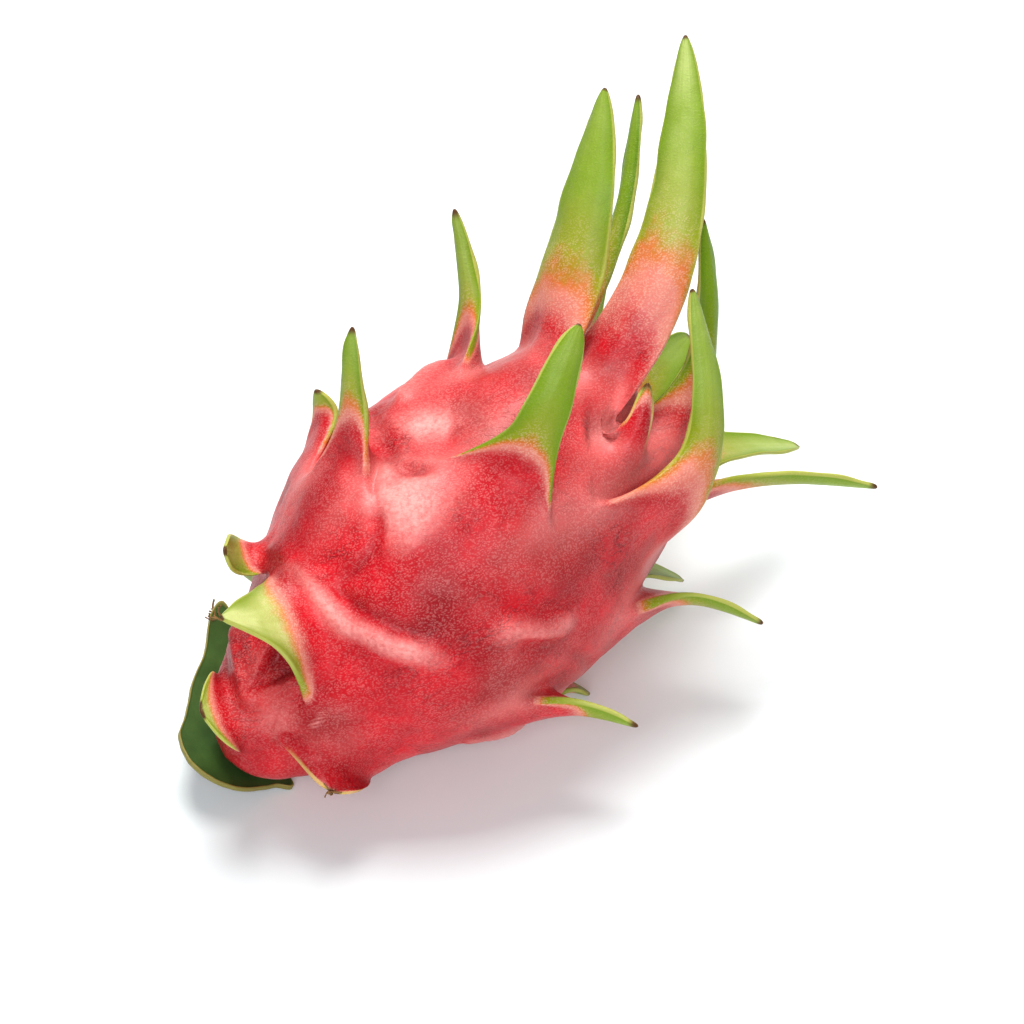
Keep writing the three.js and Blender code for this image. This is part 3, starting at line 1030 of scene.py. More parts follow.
    def add_scale(self, scale: PlacedScale, grid: np.ndarray, phase: float) -> None:
        """Grow a blade out of its base.

        Args:
            scale: the scale.
            grid: point numbers of the body.
            phase: offset of its ripples from those of the other blades.
        """
        form = scale.form
        lips = [
            [int(grid[row, c % self.columns]) for c in scale.columns]
            for row in (scale.row, scale.row + 1)
        ]
        middle = scale.reach_columns
        root = (self.points[lips[0][middle]] + self.points[lips[1][middle]]) / 2
        line = self.midline(scale, root)
        samples = np.array(
            [curve_point(line, place) for place in np.linspace(0, 1, self.length_samples)]
        )
        length = float(np.linalg.norm(np.diff(samples, axis=0), axis=1).sum())
        looks = {
            "blush": form.blush, "lush": form.lush, "chalk": form.chalk, "burnt": form.burnt,
            "wave": form.wave, "phase": phase, "reach_mm": length,
        }  # fmt: skip
        for side, lip in zip((1, -1), lips):
            for k, number in enumerate(lip):
                known = {**looks, "side": side, "across": k / middle - 1}
                for key, value in known.items():
                    self.values[key][number] = value
        rings = max(4, math.floor(length / self.ring_step + 0.5))
        previous = lips
        for ring in range(1, rings + 1):
            share = 1 - (1 - ring / rings) ** self.ring_crowding
            flare = max(0.0, 1 - share / form.flare) ** 2
            centre = curve_point(line, share)
            current = []
            for side, lip in zip((1, -1), lips):
                layer = []
                for k, number in enumerate(lip):
                    across = k / middle - 1
                    point = centre + self.blade_offset(scale, line, share, across, side)
                    shift = self.points[number] - root
                    shift = shift - self.blade_offset(scale, line, 0.0, across, side)
                    own = {"share": share, "across": across, "side": side, "blade": 1.0}
                    place = point + shift * flare
                    layer.append(self.add_point(place, arc=scale.arc, **own, **looks))
                current.append(layer)
            self.join_rings(previous, current)
            for near, far in zip(previous, current):
                self.margins += [(near[0], far[0]), (near[-1], far[-1])]
            previous = current
        outer, inner = previous
        for k in range(len(outer) - 1):
            self.faces.append((outer[k], outer[k + 1], inner[k + 1], inner[k]))

    def join_rings(self, near: Sequence[Sequence[int]], far: Sequence[Sequence[int]]) -> None:
        """Faces between two cross-sections: the outer side, the inner side and the edges.

        Args:
            near: point numbers of the outer and inner side nearer the base.
            far: those nearer the tip.
        """
        outer, inner = near
        next_outer, next_inner = far
        last = len(outer) - 1
        for k in range(last):
            self.faces.append((outer[k], outer[k + 1], next_outer[k + 1], next_outer[k]))
            self.faces.append((inner[k + 1], inner[k], next_inner[k], next_inner[k + 1]))
        self.faces.append((outer[last], inner[last], next_inner[last], next_outer[last]))
        self.faces.append((inner[0], outer[0], next_outer[0], next_inner[0]))

    def build(self) -> bpy.types.Object:
        """Build the peel: cage, subdivision, fine relief and the values that colour it.

        Returns:
            The finished mesh, without its material.
        """
        scales = [self.place_scale(form) for form in fruit_scales(self.body)]
        grid = self.build_grid(scales)
        for number, scale in enumerate(scales):
            self.add_scale(scale, grid, phase=self.phase_step * number)
        values = {key: np.array(value, float) for key, value in self.values.items()}
        cage = mesh_object("cage", np.array(self.points), self.faces, values)
        self.crease(cage.data)
        finer = cage.modifiers.new("finer", "SUBSURF")
        finer.levels = finer.render_levels = self.levels
        peel = plain_mesh(cage, "peel")
        self.refine(peel.data)
        self.colour(peel.data, scales)
        return peel

    def crease(self, mesh: bpy.types.Mesh) -> None:
        """Keep the blades' margins in place when the cage is subdivided."""
        ends = np.empty(len(mesh.edges) * 2, np.int32)
        mesh.edges.foreach_get("vertices", ends)
        kept = {tuple(sorted(pair)) for pair in self.margins}
        weights = [
            self.margin_crease if tuple(sorted(pair)) in kept else 0.0
            for pair in ends.reshape(-1, 2).tolist()
        ]
        mesh.attributes.new("crease_edge", "FLOAT", "EDGE").data.foreach_set("value", weights)

    def refine(self, mesh: bpy.types.Mesh) -> None:
        """Add wavy margins, veins, small lumps and folds to the subdivided skin."""
        points, normals = read_points(mesh)
        keys = ("share", "across", "blade", "side", "wave", "phase", "reach_mm")
        share, across, blade, side, wave, phase, length = (read_values(mesh, key) for key in keys)
        along = share * length
        edge = np.clip(np.abs(across), 0, 1) ** 3 * blade
        edge *= 1 - smooth(self.wave_end, 1, share)
        slow, quick = self.ripples
        ripple = np.sin(along / slow + phase)
        ripple += 0.5 * np.sin(along / quick + 2 * phase + 2 * across)
        lift = side * edge * wave * ripple * self.wave_height
        vein = np.cos(across * self.veins + 0.5 * np.sin(along / 9)) * blade * (1 - edge)
        vein *= self.vein_height
        lumps = layered_noise(points, self.lumps) * (1 - 0.8 * blade)
        skin = np.clip(1 - blade, 0, 1)
        raised = np.zeros(len(points))
        # painted sheen and shade: raised lumps and folds are painted paler, sunk lumps and creases
        # a deeper red
        flush = self.lump_sheen_and_shade * lumps
        for fold in FOLDS:
            share_here = fold.share(self.body, points) * skin
            raised += share_here * fold.height * self.fold_gain
            flush += share_here * fold.flush
        off_floor = smooth(*self.resting, points[:, 2])
        points = points + normals * ((lift + vein + lumps + raised) * off_floor)[:, None]
        points[:, 2] = np.maximum(points[:, 2], 0)
        write_points(mesh, points)
        write_values(mesh, "flush", flush)

    def colour(self, mesh: bpy.types.Mesh, scales: Sequence[PlacedScale]) -> None:
        """Work out where the skin is green, pale, hollow or dried, corner by corner.

        Args:
            mesh: the subdivided skin.
            scales: all scales.
        """
        points, _ = read_points(mesh)
        keys = ("share", "across", "blade", "blush", "burnt", "reach_mm", "arc")
        share, across, blade, blush, burnt, length, arc = (read_values(mesh, key) for key in keys)
        across = np.abs(across)
        ragged = layered_noise(points, self.ragged)
        short, long = self.arms
        arms = short - (short - long) * smooth(*self.arm_lengths, length)
        ripe = share + ragged + arms * across**3 - blush
        ripe = np.clip(0.5 + ripe / self.ripening_span, 0, 1)
        # The middle of a base stays as red as the body; only its two arms carry the leaf colour.
        joined = (1 - smooth(0, self.red_base, share * length)) * (1 - across**4)
        ripe = ripe * smooth(0, 0.6, blade) * (1 - joined)
        edge = smooth(self.pale_edge, 1, across) * smooth(0.3, 1, blade) * smooth(0.1, 0.5, share)
        to_tip = (1 - share) * length + self.dried_raggedness * ragged
        dry = smooth(burnt, burnt * 0.25, to_tip) * smooth(0.5, 1, blade)
        offset = points - self.body.scar
        angle = np.arctan2(offset @ self.body.front, offset @ self.body.top)
        ridge = self.relief(scales, np.full_like(arc, -1.0), arc, angle).ridge
        write_values(mesh, "ripening", ripe)
        write_values(mesh, "margin", edge)
        write_values(mesh, "dried", np.clip(dry, 0, 1))
        # painted highlight: the ribs between the scales are painted paler
        write_values(mesh, "ridge", np.clip(ridge / 2, 0, 1) * (1 - blade))
        # the navel is painted darker, partly its own colour and partly painted shade
        write_values(mesh, "hollow", smooth(*self.navel, arc) * (1 - blade))


# ---- the cactus stem piece ------------------------------------------------------------------


@dataclass
class StemPiece(Assembly):
    """A dished slab of cactus stem under the stem end, with a corky margin.

    Its outline is seen in plan and thins from the middle to the margin. Along the margin it is
    nibbled and carries a bead, and its faces have low lumps.
    """

    slot: str = "stem_skin"
    node: str = "cactus_stem_piece"
    place: tuple[float, float, float] = (-47.4, 1.5, 2.0)
    tilt: tuple[float, float, float] = (10.0, 18.0, 0.0)
    dish: float = 0.006
    thickness: float = 4.0
    margin: float = 1.2
    middle: tuple[float, float] = (-8.0, 10.0)
    outline: tuple[tuple[float, float], ...] = (
        (6, 45), (2, 43.5), (-4.6, 34.6), (-12.3, 27.6), (-20.5, 18.3), (-26, 12.6), (-27.8, 4.5),
        (-24.7, -2), (-18.3, -6.6), (-7.3, -8), (-2.6, -9.8), (-1, -5), (3, 3), (5, 18), (8, 33),
    )  # fmt: skip
    nibble: float = 0.3
    nibble_size: float = 2.6
    nibble_from: float = 0.93
    bead: float = 0.25
    bead_place: float = 0.985
    bead_width: float = 0.012
    lump: float = 0.35
    lump_size: float = 8.0
    clearance: float = 0.05
    steps: int = 220
    rings: int = 26

    def edge(self) -> np.ndarray:
        """Closed line of the slab's edge, seen in plan.

        Returns:
            One point a step.
        """
        knots = np.array(self.outline, float)
        count = len(knots)
        places = np.arange(self.steps) / self.steps * count
        line = []
        for place in places:
            start = int(place)
            p = [knots[(start + k) % count] for k in (-1, 0, 1, 2)]
            gaps = [max(np.linalg.norm(b - a), 1e-6) ** 0.5 for a, b in zip(p, p[1:])]
            leave = (p[1] - p[0]) / gaps[0] - (p[2] - p[0]) / (gaps[0] + gaps[1])
            leave = (leave + (p[2] - p[1]) / gaps[1]) * gaps[1]
            arrive = (p[2] - p[1]) / gaps[1] - (p[3] - p[1]) / (gaps[1] + gaps[2])
            arrive = (arrive + (p[3] - p[2]) / gaps[2]) * gaps[1]
            w = place - start
            line.append(
                (2 * p[1] - 2 * p[2] + leave + arrive) * w**3
                + (3 * p[2] - 3 * p[1] - 2 * leave - arrive) * w**2
                + leave * w
                + p[1]
            )
        return np.array(line)

    def build(self) -> bpy.types.Object:
        """Build the slab.

        Returns:
            The finished mesh, without its material.
        """
        edge = self.edge()
        middle = np.array(self.middle, float)
        shares = np.sin(np.linspace(0, 1, self.rings + 1)[1:] * math.pi / 2)
        line = np.column_stack([edge, np.zeros(self.steps)])
        nibble = self.nibble * soft_noise(line, self.nibble_size, 4.4)
        points, rim_values, under_values, faces = [], [], [], []
        for side in (1, -1):
            for share in (0.0, *shares):
                ring = middle + (edge - middle) * share
                worn = nibble * smooth(self.nibble_from, 1, np.array(share))
                ring = ring + unit(edge - middle) * worn[:, None] if share else ring[:1]
                height = self.dish * (ring**2).sum(1)
                thick = self.thickness + (self.margin - self.thickness) * share**2
                bead = self.bead * math.exp(-(((share - self.bead_place) / self.bead_width) ** 2))
                level = height + bead if side > 0 else height - thick - bead
                points.append(np.column_stack([ring, level]))
                rim_values.append(np.full(len(ring), share))
                under_values.append(np.full(len(ring), 0.0 if side > 0 else 1.0))
        starts = np.concatenate([[0], np.cumsum([len(ring) for ring in points])])
        for side in (0, 1):
            first = side * (self.rings + 1)
            for level in range(self.rings):
                near, far = starts[first + level], starts[first + level + 1]
                for step in range(self.steps):
                    after = (step + 1) % self.steps
                    loop = (
                        (near, far + step, far + after)
                        if level == 0
                        else (near + step, far + step, far + after, near + after)
                    )
                    faces.append(loop if side == 0 else loop[::-1])
        top, under = starts[self.rings], starts[2 * self.rings + 1]
        for step in range(self.steps):
            after = (step + 1) % self.steps
            faces.append((top + step, under + step, under + after, top + after))
        flat = np.vstack(points)
        flat[:, 2] += self.lump * soft_noise(flat, self.lump_size, 2.2)
        placed = self.laid(flat)
        placed[:, 2] = np.maximum(placed[:, 2], self.clearance)
        values = {"rim": np.concatenate(rim_values), "under": np.concatenate(under_values)}
        return mesh_object("stem_piece", placed, faces, values)

    def laid(self, points: np.ndarray) -> np.ndarray:
        """Points of the slab as drawn flat, turned and moved to where it lies."""
        turns = [Matrix.Rotation(math.radians(a), 3, axis) for a, axis in zip(self.tilt, "XYZ")]
        return points @ np.array(turns[0] @ turns[1] @ turns[2]).T + np.array(self.place)


# ---- withered threads -----------------------------------------------------------------------


@dataclass
class DryThreads(Assembly):
    """Withered brown threads that grow in tufts, made by Geometry Nodes. Millimetres.

    Each tuft has a root and a lean. root_spread is how far its threads stand from its root,
    spread how far they lean apart and curl how far their tips sway, as shares of their length.
    waist is where a thread bends, tip_share how thick its tip is and sizes the least and the
    greatest size of one, as shares too.
    """

    name: str
    roots: Sequence[np.ndarray]
    leans: Sequence[np.ndarray]
    threads: int
    length: float
    thickness: float
    root_spread: float
    spread: float = 0.5
    curl: float = 0.45
    seed: int = 7
    waist: float = 0.55
    tip_share: float = 0.3
    sizes: tuple[float, float] = (0.55, 1.1)
    rings: int = 7
    sides: int = 5
    slot: str = "stem_skin"

    def tree(self) -> bpy.types.NodeTree:
        """Build the node tree that turns one point a tuft into threads.

        Returns:
            The tree, with its sizes as named inputs.
        """
        tree = bpy.data.node_groups.new(self.name, "GeometryNodeTree")
        face = tree.interface
        face.new_socket("Geometry", in_out="INPUT", socket_type="NodeSocketGeometry")
        for label, kind in (
            ("Threads", "NodeSocketInt"), ("Length", "NodeSocketFloat"),
            ("Thickness", "NodeSocketFloat"), ("Root Spread", "NodeSocketFloat"),
            ("Spread", "NodeSocketFloat"), ("Curl", "NodeSocketFloat"), ("Seed", "NodeSocketInt"),
            ("Material", "NodeSocketMaterial"),
        ):  # fmt: skip
            face.new_socket(label, in_out="INPUT", socket_type=kind)
        face.new_socket("Geometry", in_out="OUTPUT", socket_type="NodeSocketGeometry")
        given = tree.nodes.new("NodeGroupInput").outputs
        add = partial(add_node, tree)
        box = {0: (-1.0, -1.0, -1.0), 1: (1.0, 1.0, 1.0)}
        draws = (
            ("jitter", "FLOAT_VECTOR", box, 0),
            ("stray", "FLOAT_VECTOR", box, 0),
            ("spin", "FLOAT", {2: 0.0, 3: 2 * math.pi}, 1),
            ("size", "FLOAT", {2: self.sizes[0], 3: self.sizes[1]}, 1),
        )
        drawn = {}
        for shift, (name, kind, limits, output) in enumerate(draws, start=1):
            links = {**limits, "Seed": add(MATH, PLUS, (given["Seed"], shift))}
            settings = {"data_type": kind}
            drawn[name] = add("FunctionNodeRandomValue", settings, links, output=output)

        tufts = add("GeometryNodeMeshToPoints", None, {"Mesh": given["Geometry"]})
        links = {"Geometry": tufts, "Amount": given["Threads"]}
        many = add("GeometryNodeDuplicateElements", {"domain": "POINT"}, links)
        offset = add(VECTOR_MATH, SCALE, {0: drawn["jitter"], "Scale": given["Root Spread"]})
        placed = add("GeometryNodeSetPosition", None, {"Geometry": many, "Offset": offset})

        waist = add(MATH, TIMES, (given["Length"], self.waist))
        sway = add(MATH, TIMES, (given["Length"], given["Curl"]))
        links = {
            "Resolution": self.rings,
            "Start": (0.0, 0.0, 0.0),
            "Middle": add(COMBINE, None, {"Z": waist}),
            "End": add(COMBINE, None, {"X": sway, "Z": given["Length"]}),
        }
        thread = add("GeometryNodeCurveQuadraticBezier", None, links)
        along = add("GeometryNodeSplineParameter", output="Factor")
        thin = add(MAP_RANGE, None, {"Value": along, "To Min": 1.0, "To Max": self.tip_share})
        thread = add("GeometryNodeSetCurveRadius", None, {"Curve": thread, "Radius": thin})
        links = {"Resolution": self.sides, "Radius": given["Thickness"]}
        ring = add("GeometryNodeCurvePrimitiveCircle", None, links)
        links = {"Curve": thread, "Profile Curve": ring, "Fill Caps": True}
        thread = add("GeometryNodeCurveToMesh", None, links)

        settings = {"data_type": "FLOAT_VECTOR"}
        lean = add("GeometryNodeInputNamedAttribute", settings, {"Name": "lean"})
        stray = add(VECTOR_MATH, SCALE, {0: drawn["stray"], "Scale": given["Spread"]})
        aim = add(VECTOR_MATH, PLUS, (lean, stray))
        turn = add("FunctionNodeAlignRotationToVector", {"axis": "Z"}, {"Vector": aim})
        spin = add(COMBINE, None, {"Z": drawn["spin"]})
        spin = add("FunctionNodeEulerToRotation", None, (spin,))
        links = {"Rotation": turn, "Rotate By": spin}
        turn = add("FunctionNodeRotateRotation", {"rotation_space": "LOCAL"}, links)
        links = {"Points": placed, "Instance": thread, "Rotation": turn, "Scale": drawn["size"]}
        grown = add("GeometryNodeInstanceOnPoints", None, links)
        grown = add("GeometryNodeRealizeInstances", None, {"Geometry": grown})
        links = {"Geometry": grown, "Material": given["Material"]}
        grown = add("GeometryNodeSetMaterial", None, links)
        add("NodeGroupOutput", None, {"Geometry": grown})
        return tree

    def build(self, material: bpy.types.Material) -> bpy.types.Object:
        """Grow the threads.

        Args:
            material: their finish.

        Returns:
            The finished mesh.
        """
        source = mesh_object("tufts", np.array(self.roots), [], {"lean": np.array(self.leans)})
        grow = source.modifiers.new("grow", "NODES")
        grow.node_group = self.tree()
        sizes = {
            "Threads": self.threads, "Length": self.length * MM, "Thickness": self.thickness * MM,
            "Root Spread": self.root_spread * MM, "Spread": self.spread, "Curl": self.curl,
            "Seed": self.seed, "Material": material,
        }  # fmt: skip
        for socket in grow.node_group.interface.items_tree:
            if socket.in_out == "INPUT" and socket.name in sizes:
                grow[socket.identifier] = sizes[socket.name]
        return plain_mesh(source, self.name)


def withered_flower(body: PlainBody) -> DryThreads:
    """What is left of the flower: a tuft at the bottom of the navel.

    Args:
        body: the plain body that carries it.

    Returns:
        The tuft.
    """
    bottom = body.stations[-1] - 0.8
    turns = np.radians(np.arange(0, 360, 40))
    roots = [body.place(bottom, angle, 5.0) for angle in turns]
    leans = [body.axis + 0.45 * body.outward(angle) for angle in turns]
    roots.append(body.place(bottom, 0.0, 0.0))
    leans.append(body.axis)
    return DryThreads(
        "withered_flower", roots, leans, threads=9, length=11.0, thickness=0.32, root_spread=2.2
    )


def dry_scraps(body: PlainBody, stem: StemPiece) -> DryThreads:
    """Torn fibres at a corner of the stem piece and at the tips of two stem end scales.

    Args:
        body: the plain body.
        stem: the stem piece.

    Returns:
        The fibres.
    """
    corner = stem.laid(np.array([[3.5, 43.0, 10.6], [1.5, 41.0, 9.6]]))
    tips = [body.place(22.0, math.radians(9), 56.6), body.place(15.0, math.radians(84), 32.6)]
    leans = [np.array([-0.5, 0.4, 0.9]), np.array([-0.2, 0.2, 1.0])]
    leans += [np.array([-0.7, 0.1, 0.6]), np.array([-0.6, -0.5, 0.3])]
    return DryThreads(
        "dry_scraps", [*corner, *tips], leans, threads=5, length=2.3, thickness=0.26,
        root_spread=0.6, spread=0.6, curl=1.0, seed=3,
    )  # fmt: skip


# ---- finishes -------------------------------------------------------------------------------


@dataclass(frozen=True)
class Cloud:
    """A layer of noise with soft lumps, whose size is in millimetres.

    Its values are multiplied by gain and raised by shift, and cut keeps them between 0 and 1.
    """

    name: str
    size: float
    detail: float
    gain: float = 1.0
    shift: float = 0.0
    cut: bool = False


@dataclass(frozen=True)
class PeelSkin:
    """Waxy pitaya rind, crimson to green: a leathery skin under a thin natural wax.

    The wax gives a broad soft gloss, and the breathing pores show as fine pale flecks. leaf holds
    the colours of a blade from the red body to its ripest green. Each of marks is the length and
    the width of a small mark in millimetres. greening, waxing and leafing are the gain and the
    shift that turn ripeness into how green, how waxy and how little like the body a blade is.
    """

    name: str = "pitaya_rind_waxy"
    deep: str = "#9a0a18"
    # pale: painted highlight, the pale pink of ridges, pillows and ribs
    rose: str = "#d81a2b"
    pale: str = "#f5a29c"
    fleck: str = "#f4b4ae"
    # maroon: painted shade in creases and sunk lumps, and the darker navel
    maroon: str = "#4a0a16"
    margin: str = "#d8cf7c"
    dried: str = "#5f3f22"
    lush: str = "#5f8408"
    wax: str = "#d3dc98"
    leaf_fleck: str = "#f2d3c0"
    leaf: tuple[tuple[float, str], ...] = (
        (0.0, "#bc1f2c"), (0.12, "#c64a4a"), (0.24, "#d07068"), (0.38, "#da8674"),
        (0.47, "#cf7238"), (0.55, "#b08010"), (0.63, "#939802"), (1.0, "#7f9c02"),
    )  # fmt: skip
    clouds: tuple[Cloud, ...] = (
        Cloud("tone", 20, 4, 2.6, -0.8, cut=True),
        Cloud("mottle", 3.4, 4, 2.6, -1.15, cut=True),
        Cloud("patches", 9, 3, 2.0, -0.15, cut=True),
        # where the skin is creased; the maroon of its crease lines is painted shade
        Cloud("worn", 15, 2, 3.4, -1.5, cut=True),
        # fine grain that breaks up the painted sheen
        Cloud("sheen_grain", 1.2, 4, 1.1, 0.15),
        Cloud("frayed", 2.2, 2, 0.1, -0.05),
        Cloud("bloom", 12, 3),
        Cloud("lumps", 4.2, 4),
        Cloud("gloss", 5, 2, 0.2, -0.1),
    )
    # Real pores are about 0.2 mm apart. They are drawn coarser, so that they show.
    marks: tuple[tuple[str, float, float], ...] = (
        ("pores", 0.675, 0.45), ("dashes", 0.855, 0.45), ("wrinkles", 9.0, 3.2),
    )  # fmt: skip
    pore_edge: tuple[float, float] = (0.6, 0.27)
    dash_edge: tuple[float, float] = (0.53, 0.68)
    dash_strength: float = 0.35
    wrinkle_sharpness: float = 28.0
    grain_turn: tuple[float, float, float] = (0.2, 0.3, 0.62)
    vein_count: float = 5.0
    greening: tuple[float, float] = (4.0, -2.2)
    waxing: tuple[float, float] = (4.0, -1.5)
    leafing: tuple[float, float] = (5.0, -0.35)
    relief: float = 0.55  # mm
    roughness: float = 0.4

    def patterns(self, tree: bpy.types.NodeTree) -> dict[str, Socket]:
        """Add every pattern that the skin is made of.

        Args:
            tree: where the nodes go.

        Returns:
            The patterns, and the numbers kept at the corners of the mesh, by name.
        """
        add = partial(add_node, tree)
        seen = {}
        for name in (
            "flush", "ridge", "hollow", "ripening", "margin", "dried", "across", "share", "phase",
            "lush", "chalk",
        ):  # fmt: skip
            seen[name] = add(ATTRIBUTE, {"attribute_name": name}, output="Fac")
        place = add(COORDINATES, output="Object")
        place = add(VECTOR_MATH, SCALE, {0: place, "Scale": 1 / MM})
        for cloud in self.clouds:
            links = {"Vector": place, "Scale": 1 / cloud.size, "Detail": cloud.detail}
            terms = (add(NOISE, None, links), cloud.gain, cloud.shift)
            seen[cloud.name] = add(MATH, TIMES_PLUS_CUT if cloud.cut else TIMES_PLUS, terms)

        # Small marks lie along one slant, on lines that drift a little.
        links = {"Vector": place, "Scale": 0.45, "Detail": 1.0}
        drift = add(NOISE, None, links, output="Color")
        drift = add(VECTOR_MATH, SCALE, {0: drift, "Scale": 1.6})
        swept = add(VECTOR_MATH, PLUS, (place, drift))
        swept = add(MAPPING, None, {"Vector": swept, "Rotation": self.grain_turn})
        stretched = {}
        for name, long, wide in self.marks:
            links = {"Vector": swept, "Scale": (1 / long, 1 / wide, 1 / wide)}
            stretched[name] = add(MAPPING, None, links)

        links = {"Vector": stretched["pores"], "Scale": 1.0}
        pores = add("ShaderNodeTexVoronoi", None, links, output="Distance")
        rim, core = self.pore_edge
        links = {"Value": pores, "From Min": rim, "From Max": core}
        seen["pores"] = add(MAP_RANGE, {"interpolation_type": "SMOOTHSTEP"}, links)
        links = {"Vector": stretched["dashes"], "Scale": 1.0, "Detail": 1.5}
        low, high = self.dash_edge
        links = {"Value": add(NOISE, None, links), "From Min": low, "From Max": high}
        dashes = add(MATH, TIMES, (add(MAP_RANGE, None, links), self.dash_strength))
        flecks = add(MATH, {"operation": "MAXIMUM"}, (seen["pores"], dashes))
        seen["flecks"] = add(MATH, TIMES, (flecks, seen["patches"]))

        # Wrinkles follow the lines on which a noise is at its middle value.
        links = {"Vector": stretched["wrinkles"], "Scale": 1.0, "Detail": 3.0, "Distortion": 0.6}
        off_line = add(MATH, PLUS, (add(NOISE, None, links), -0.5))
        off_line = add(MATH, {"operation": "ABSOLUTE"}, (off_line,))
        lined = add(MATH, TIMES_PLUS_CUT, (off_line, -self.wrinkle_sharpness, 1.0))
        seen["creases"] = add(MATH, TIMES, (lined, seen["worn"]))

        # Veins run along a blade, about two for each of vein_count over its width.
        veins = add(MATH, TIMES, (seen["across"], self.vein_count))
        veins = add(COMBINE, None, {"X": veins, "Y": seen["share"], "Z": seen["phase"]})
        streaks = add(NOISE, None, {"Vector": veins, "Scale": 2.0, "Detail": 3.0})
        seen["streaks"] = add(MATH, TIMES_PLUS_CUT, (streaks, 2.4, -0.7))
        outwards = add(MATH, TIMES, (seen["across"], seen["across"]))
        seen["inwards"] = add(MATH, MINUS, (1.0, outwards))
        seen["stage"] = add(MATH, PLUS, (seen["ripening"], seen["frayed"]))
        return seen

    def red(self, tree: bpy.types.NodeTree, seen: Mapping[str, Socket]) -> Socket:
        """Colour of the body.

        Args:
            tree: where the nodes go.
            seen: the patterns.

        Returns:
            The colour.
        """
        # painted highlight: the sheen is broken into fine grain before it is laid on
        sheen_grain = add_node(tree, MATH, TIMES, (seen["flush"], seen["sheen_grain"]))
        layers = (
            (seen["tone"], 1.0, self.rose),
            (seen["mottle"], 0.45, self.deep),
            # painted shade: maroon along the crease lines, which the bump also dents
            (seen["creases"], 0.5, self.maroon),
            # painted highlight: pale pink where folds and lumps stand up
            (sheen_grain, 1.15, self.pale),
            # painted shade: a deeper maroon in creases and sunk lumps
            (seen["flush"], -0.45, self.maroon),
            # painted highlight: paler along the ribs between the scales
            (seen["ridge"], 0.4, self.pale),
            (seen["flecks"], 0.2, self.fleck),
            # darker maroon deep in the navel: partly its own colour, partly painted shade
            (seen["hollow"], 0.8, self.maroon),
        )
        return lay_over(tree, linear(self.deep), layers)

    def green(self, tree: bpy.types.NodeTree, seen: Mapping[str, Socket]) -> Socket:
        """Colour of the blades.

        Args:
            tree: where the nodes go.
            seen: the patterns.

        Returns:
            The colour.
        """
        add = partial(add_node, tree)
        leaf = add("ShaderNodeValToRGB", None, (seen["stage"],), self.leaf)
        green = add(MATH, TIMES_PLUS_CUT, (seen["stage"], *self.greening))
        shade = add(MATH, TIMES_PLUS, (seen["inwards"], -0.7, 1.0))
        shade = add(MATH, TIMES_PLUS, (seen["streaks"], 0.2, shade))
        lush = add(MATH, TIMES, (seen["lush"], green))
        lush = add(MATH, TIMES, (lush, shade))
        # The wax is thickest towards the tip, along the veins and in the middle of a blade.
        waxed = add(MATH, TIMES_PLUS_CUT, (seen["stage"], *self.waxing))
        waxed = add(MATH, TIMES, (waxed, add(MATH, TIMES_PLUS, (seen["share"], 1.3, 0.15))))
        waxed = add(MATH, TIMES, (seen["chalk"], waxed))
        bloom = add(MATH, TIMES_PLUS, (seen["streaks"], 0.4, 1.4))
        bloom = add(MATH, TIMES, (seen["bloom"], bloom))
        bloom = add(MATH, TIMES, (bloom, seen["inwards"]))
        waxed = add(MATH, TIMES_CUT, (waxed, bloom))
        flecks = add(MATH, TIMES_PLUS, (green, -0.26, 0.3))
        flecks = add(MATH, TIMES, (seen["flecks"], flecks))
        layers = ((lush, 1.0, self.lush), (waxed, 0.8, self.wax), (flecks, 1.0, self.leaf_fleck))
        return lay_over(tree, leaf, layers)

    def material(self) -> bpy.types.Material:
        """Build the material.

        Returns:
            The rind.
        """
        made = empty_material(self.name)
        tree = made.node_tree
        add = partial(add_node, tree)
        seen = self.patterns(tree)
        grown = add(MATH, TIMES_PLUS_CUT, (seen["stage"], *self.leafing))
        layers = (
            (grown, 1.0, self.green(tree, seen)),
            (seen["margin"], 0.55, self.margin),
            (seen["dried"], 1.0, self.dried),
        )
        height = add(MATH, TIMES_PLUS, (seen["pores"], 0.12, seen["lumps"]))
        dents = add(MATH, TIMES, (seen["creases"], add(MATH, MINUS, (1.0, grown))))
        height = add(MATH, TIMES_PLUS, (dents, -0.5, height))
        links = {"Height": height, "Strength": 0.55, "Distance": self.relief * MM}
        links = {
            "Base Color": lay_over(tree, self.red(tree, seen), layers),
            "Roughness": add(MATH, PLUS, (seen["gloss"], self.roughness)),
            "Normal": add(BUMP, None, links),
            "IOR": 1.45,
            "Specular IOR Level": 0.24,
            "Coat Weight": 0.1,
            "Coat Roughness": 0.24,
        }
        add(OUTPUT, None, {"Surface": add(PRINCIPLED, None, links)})
        return made


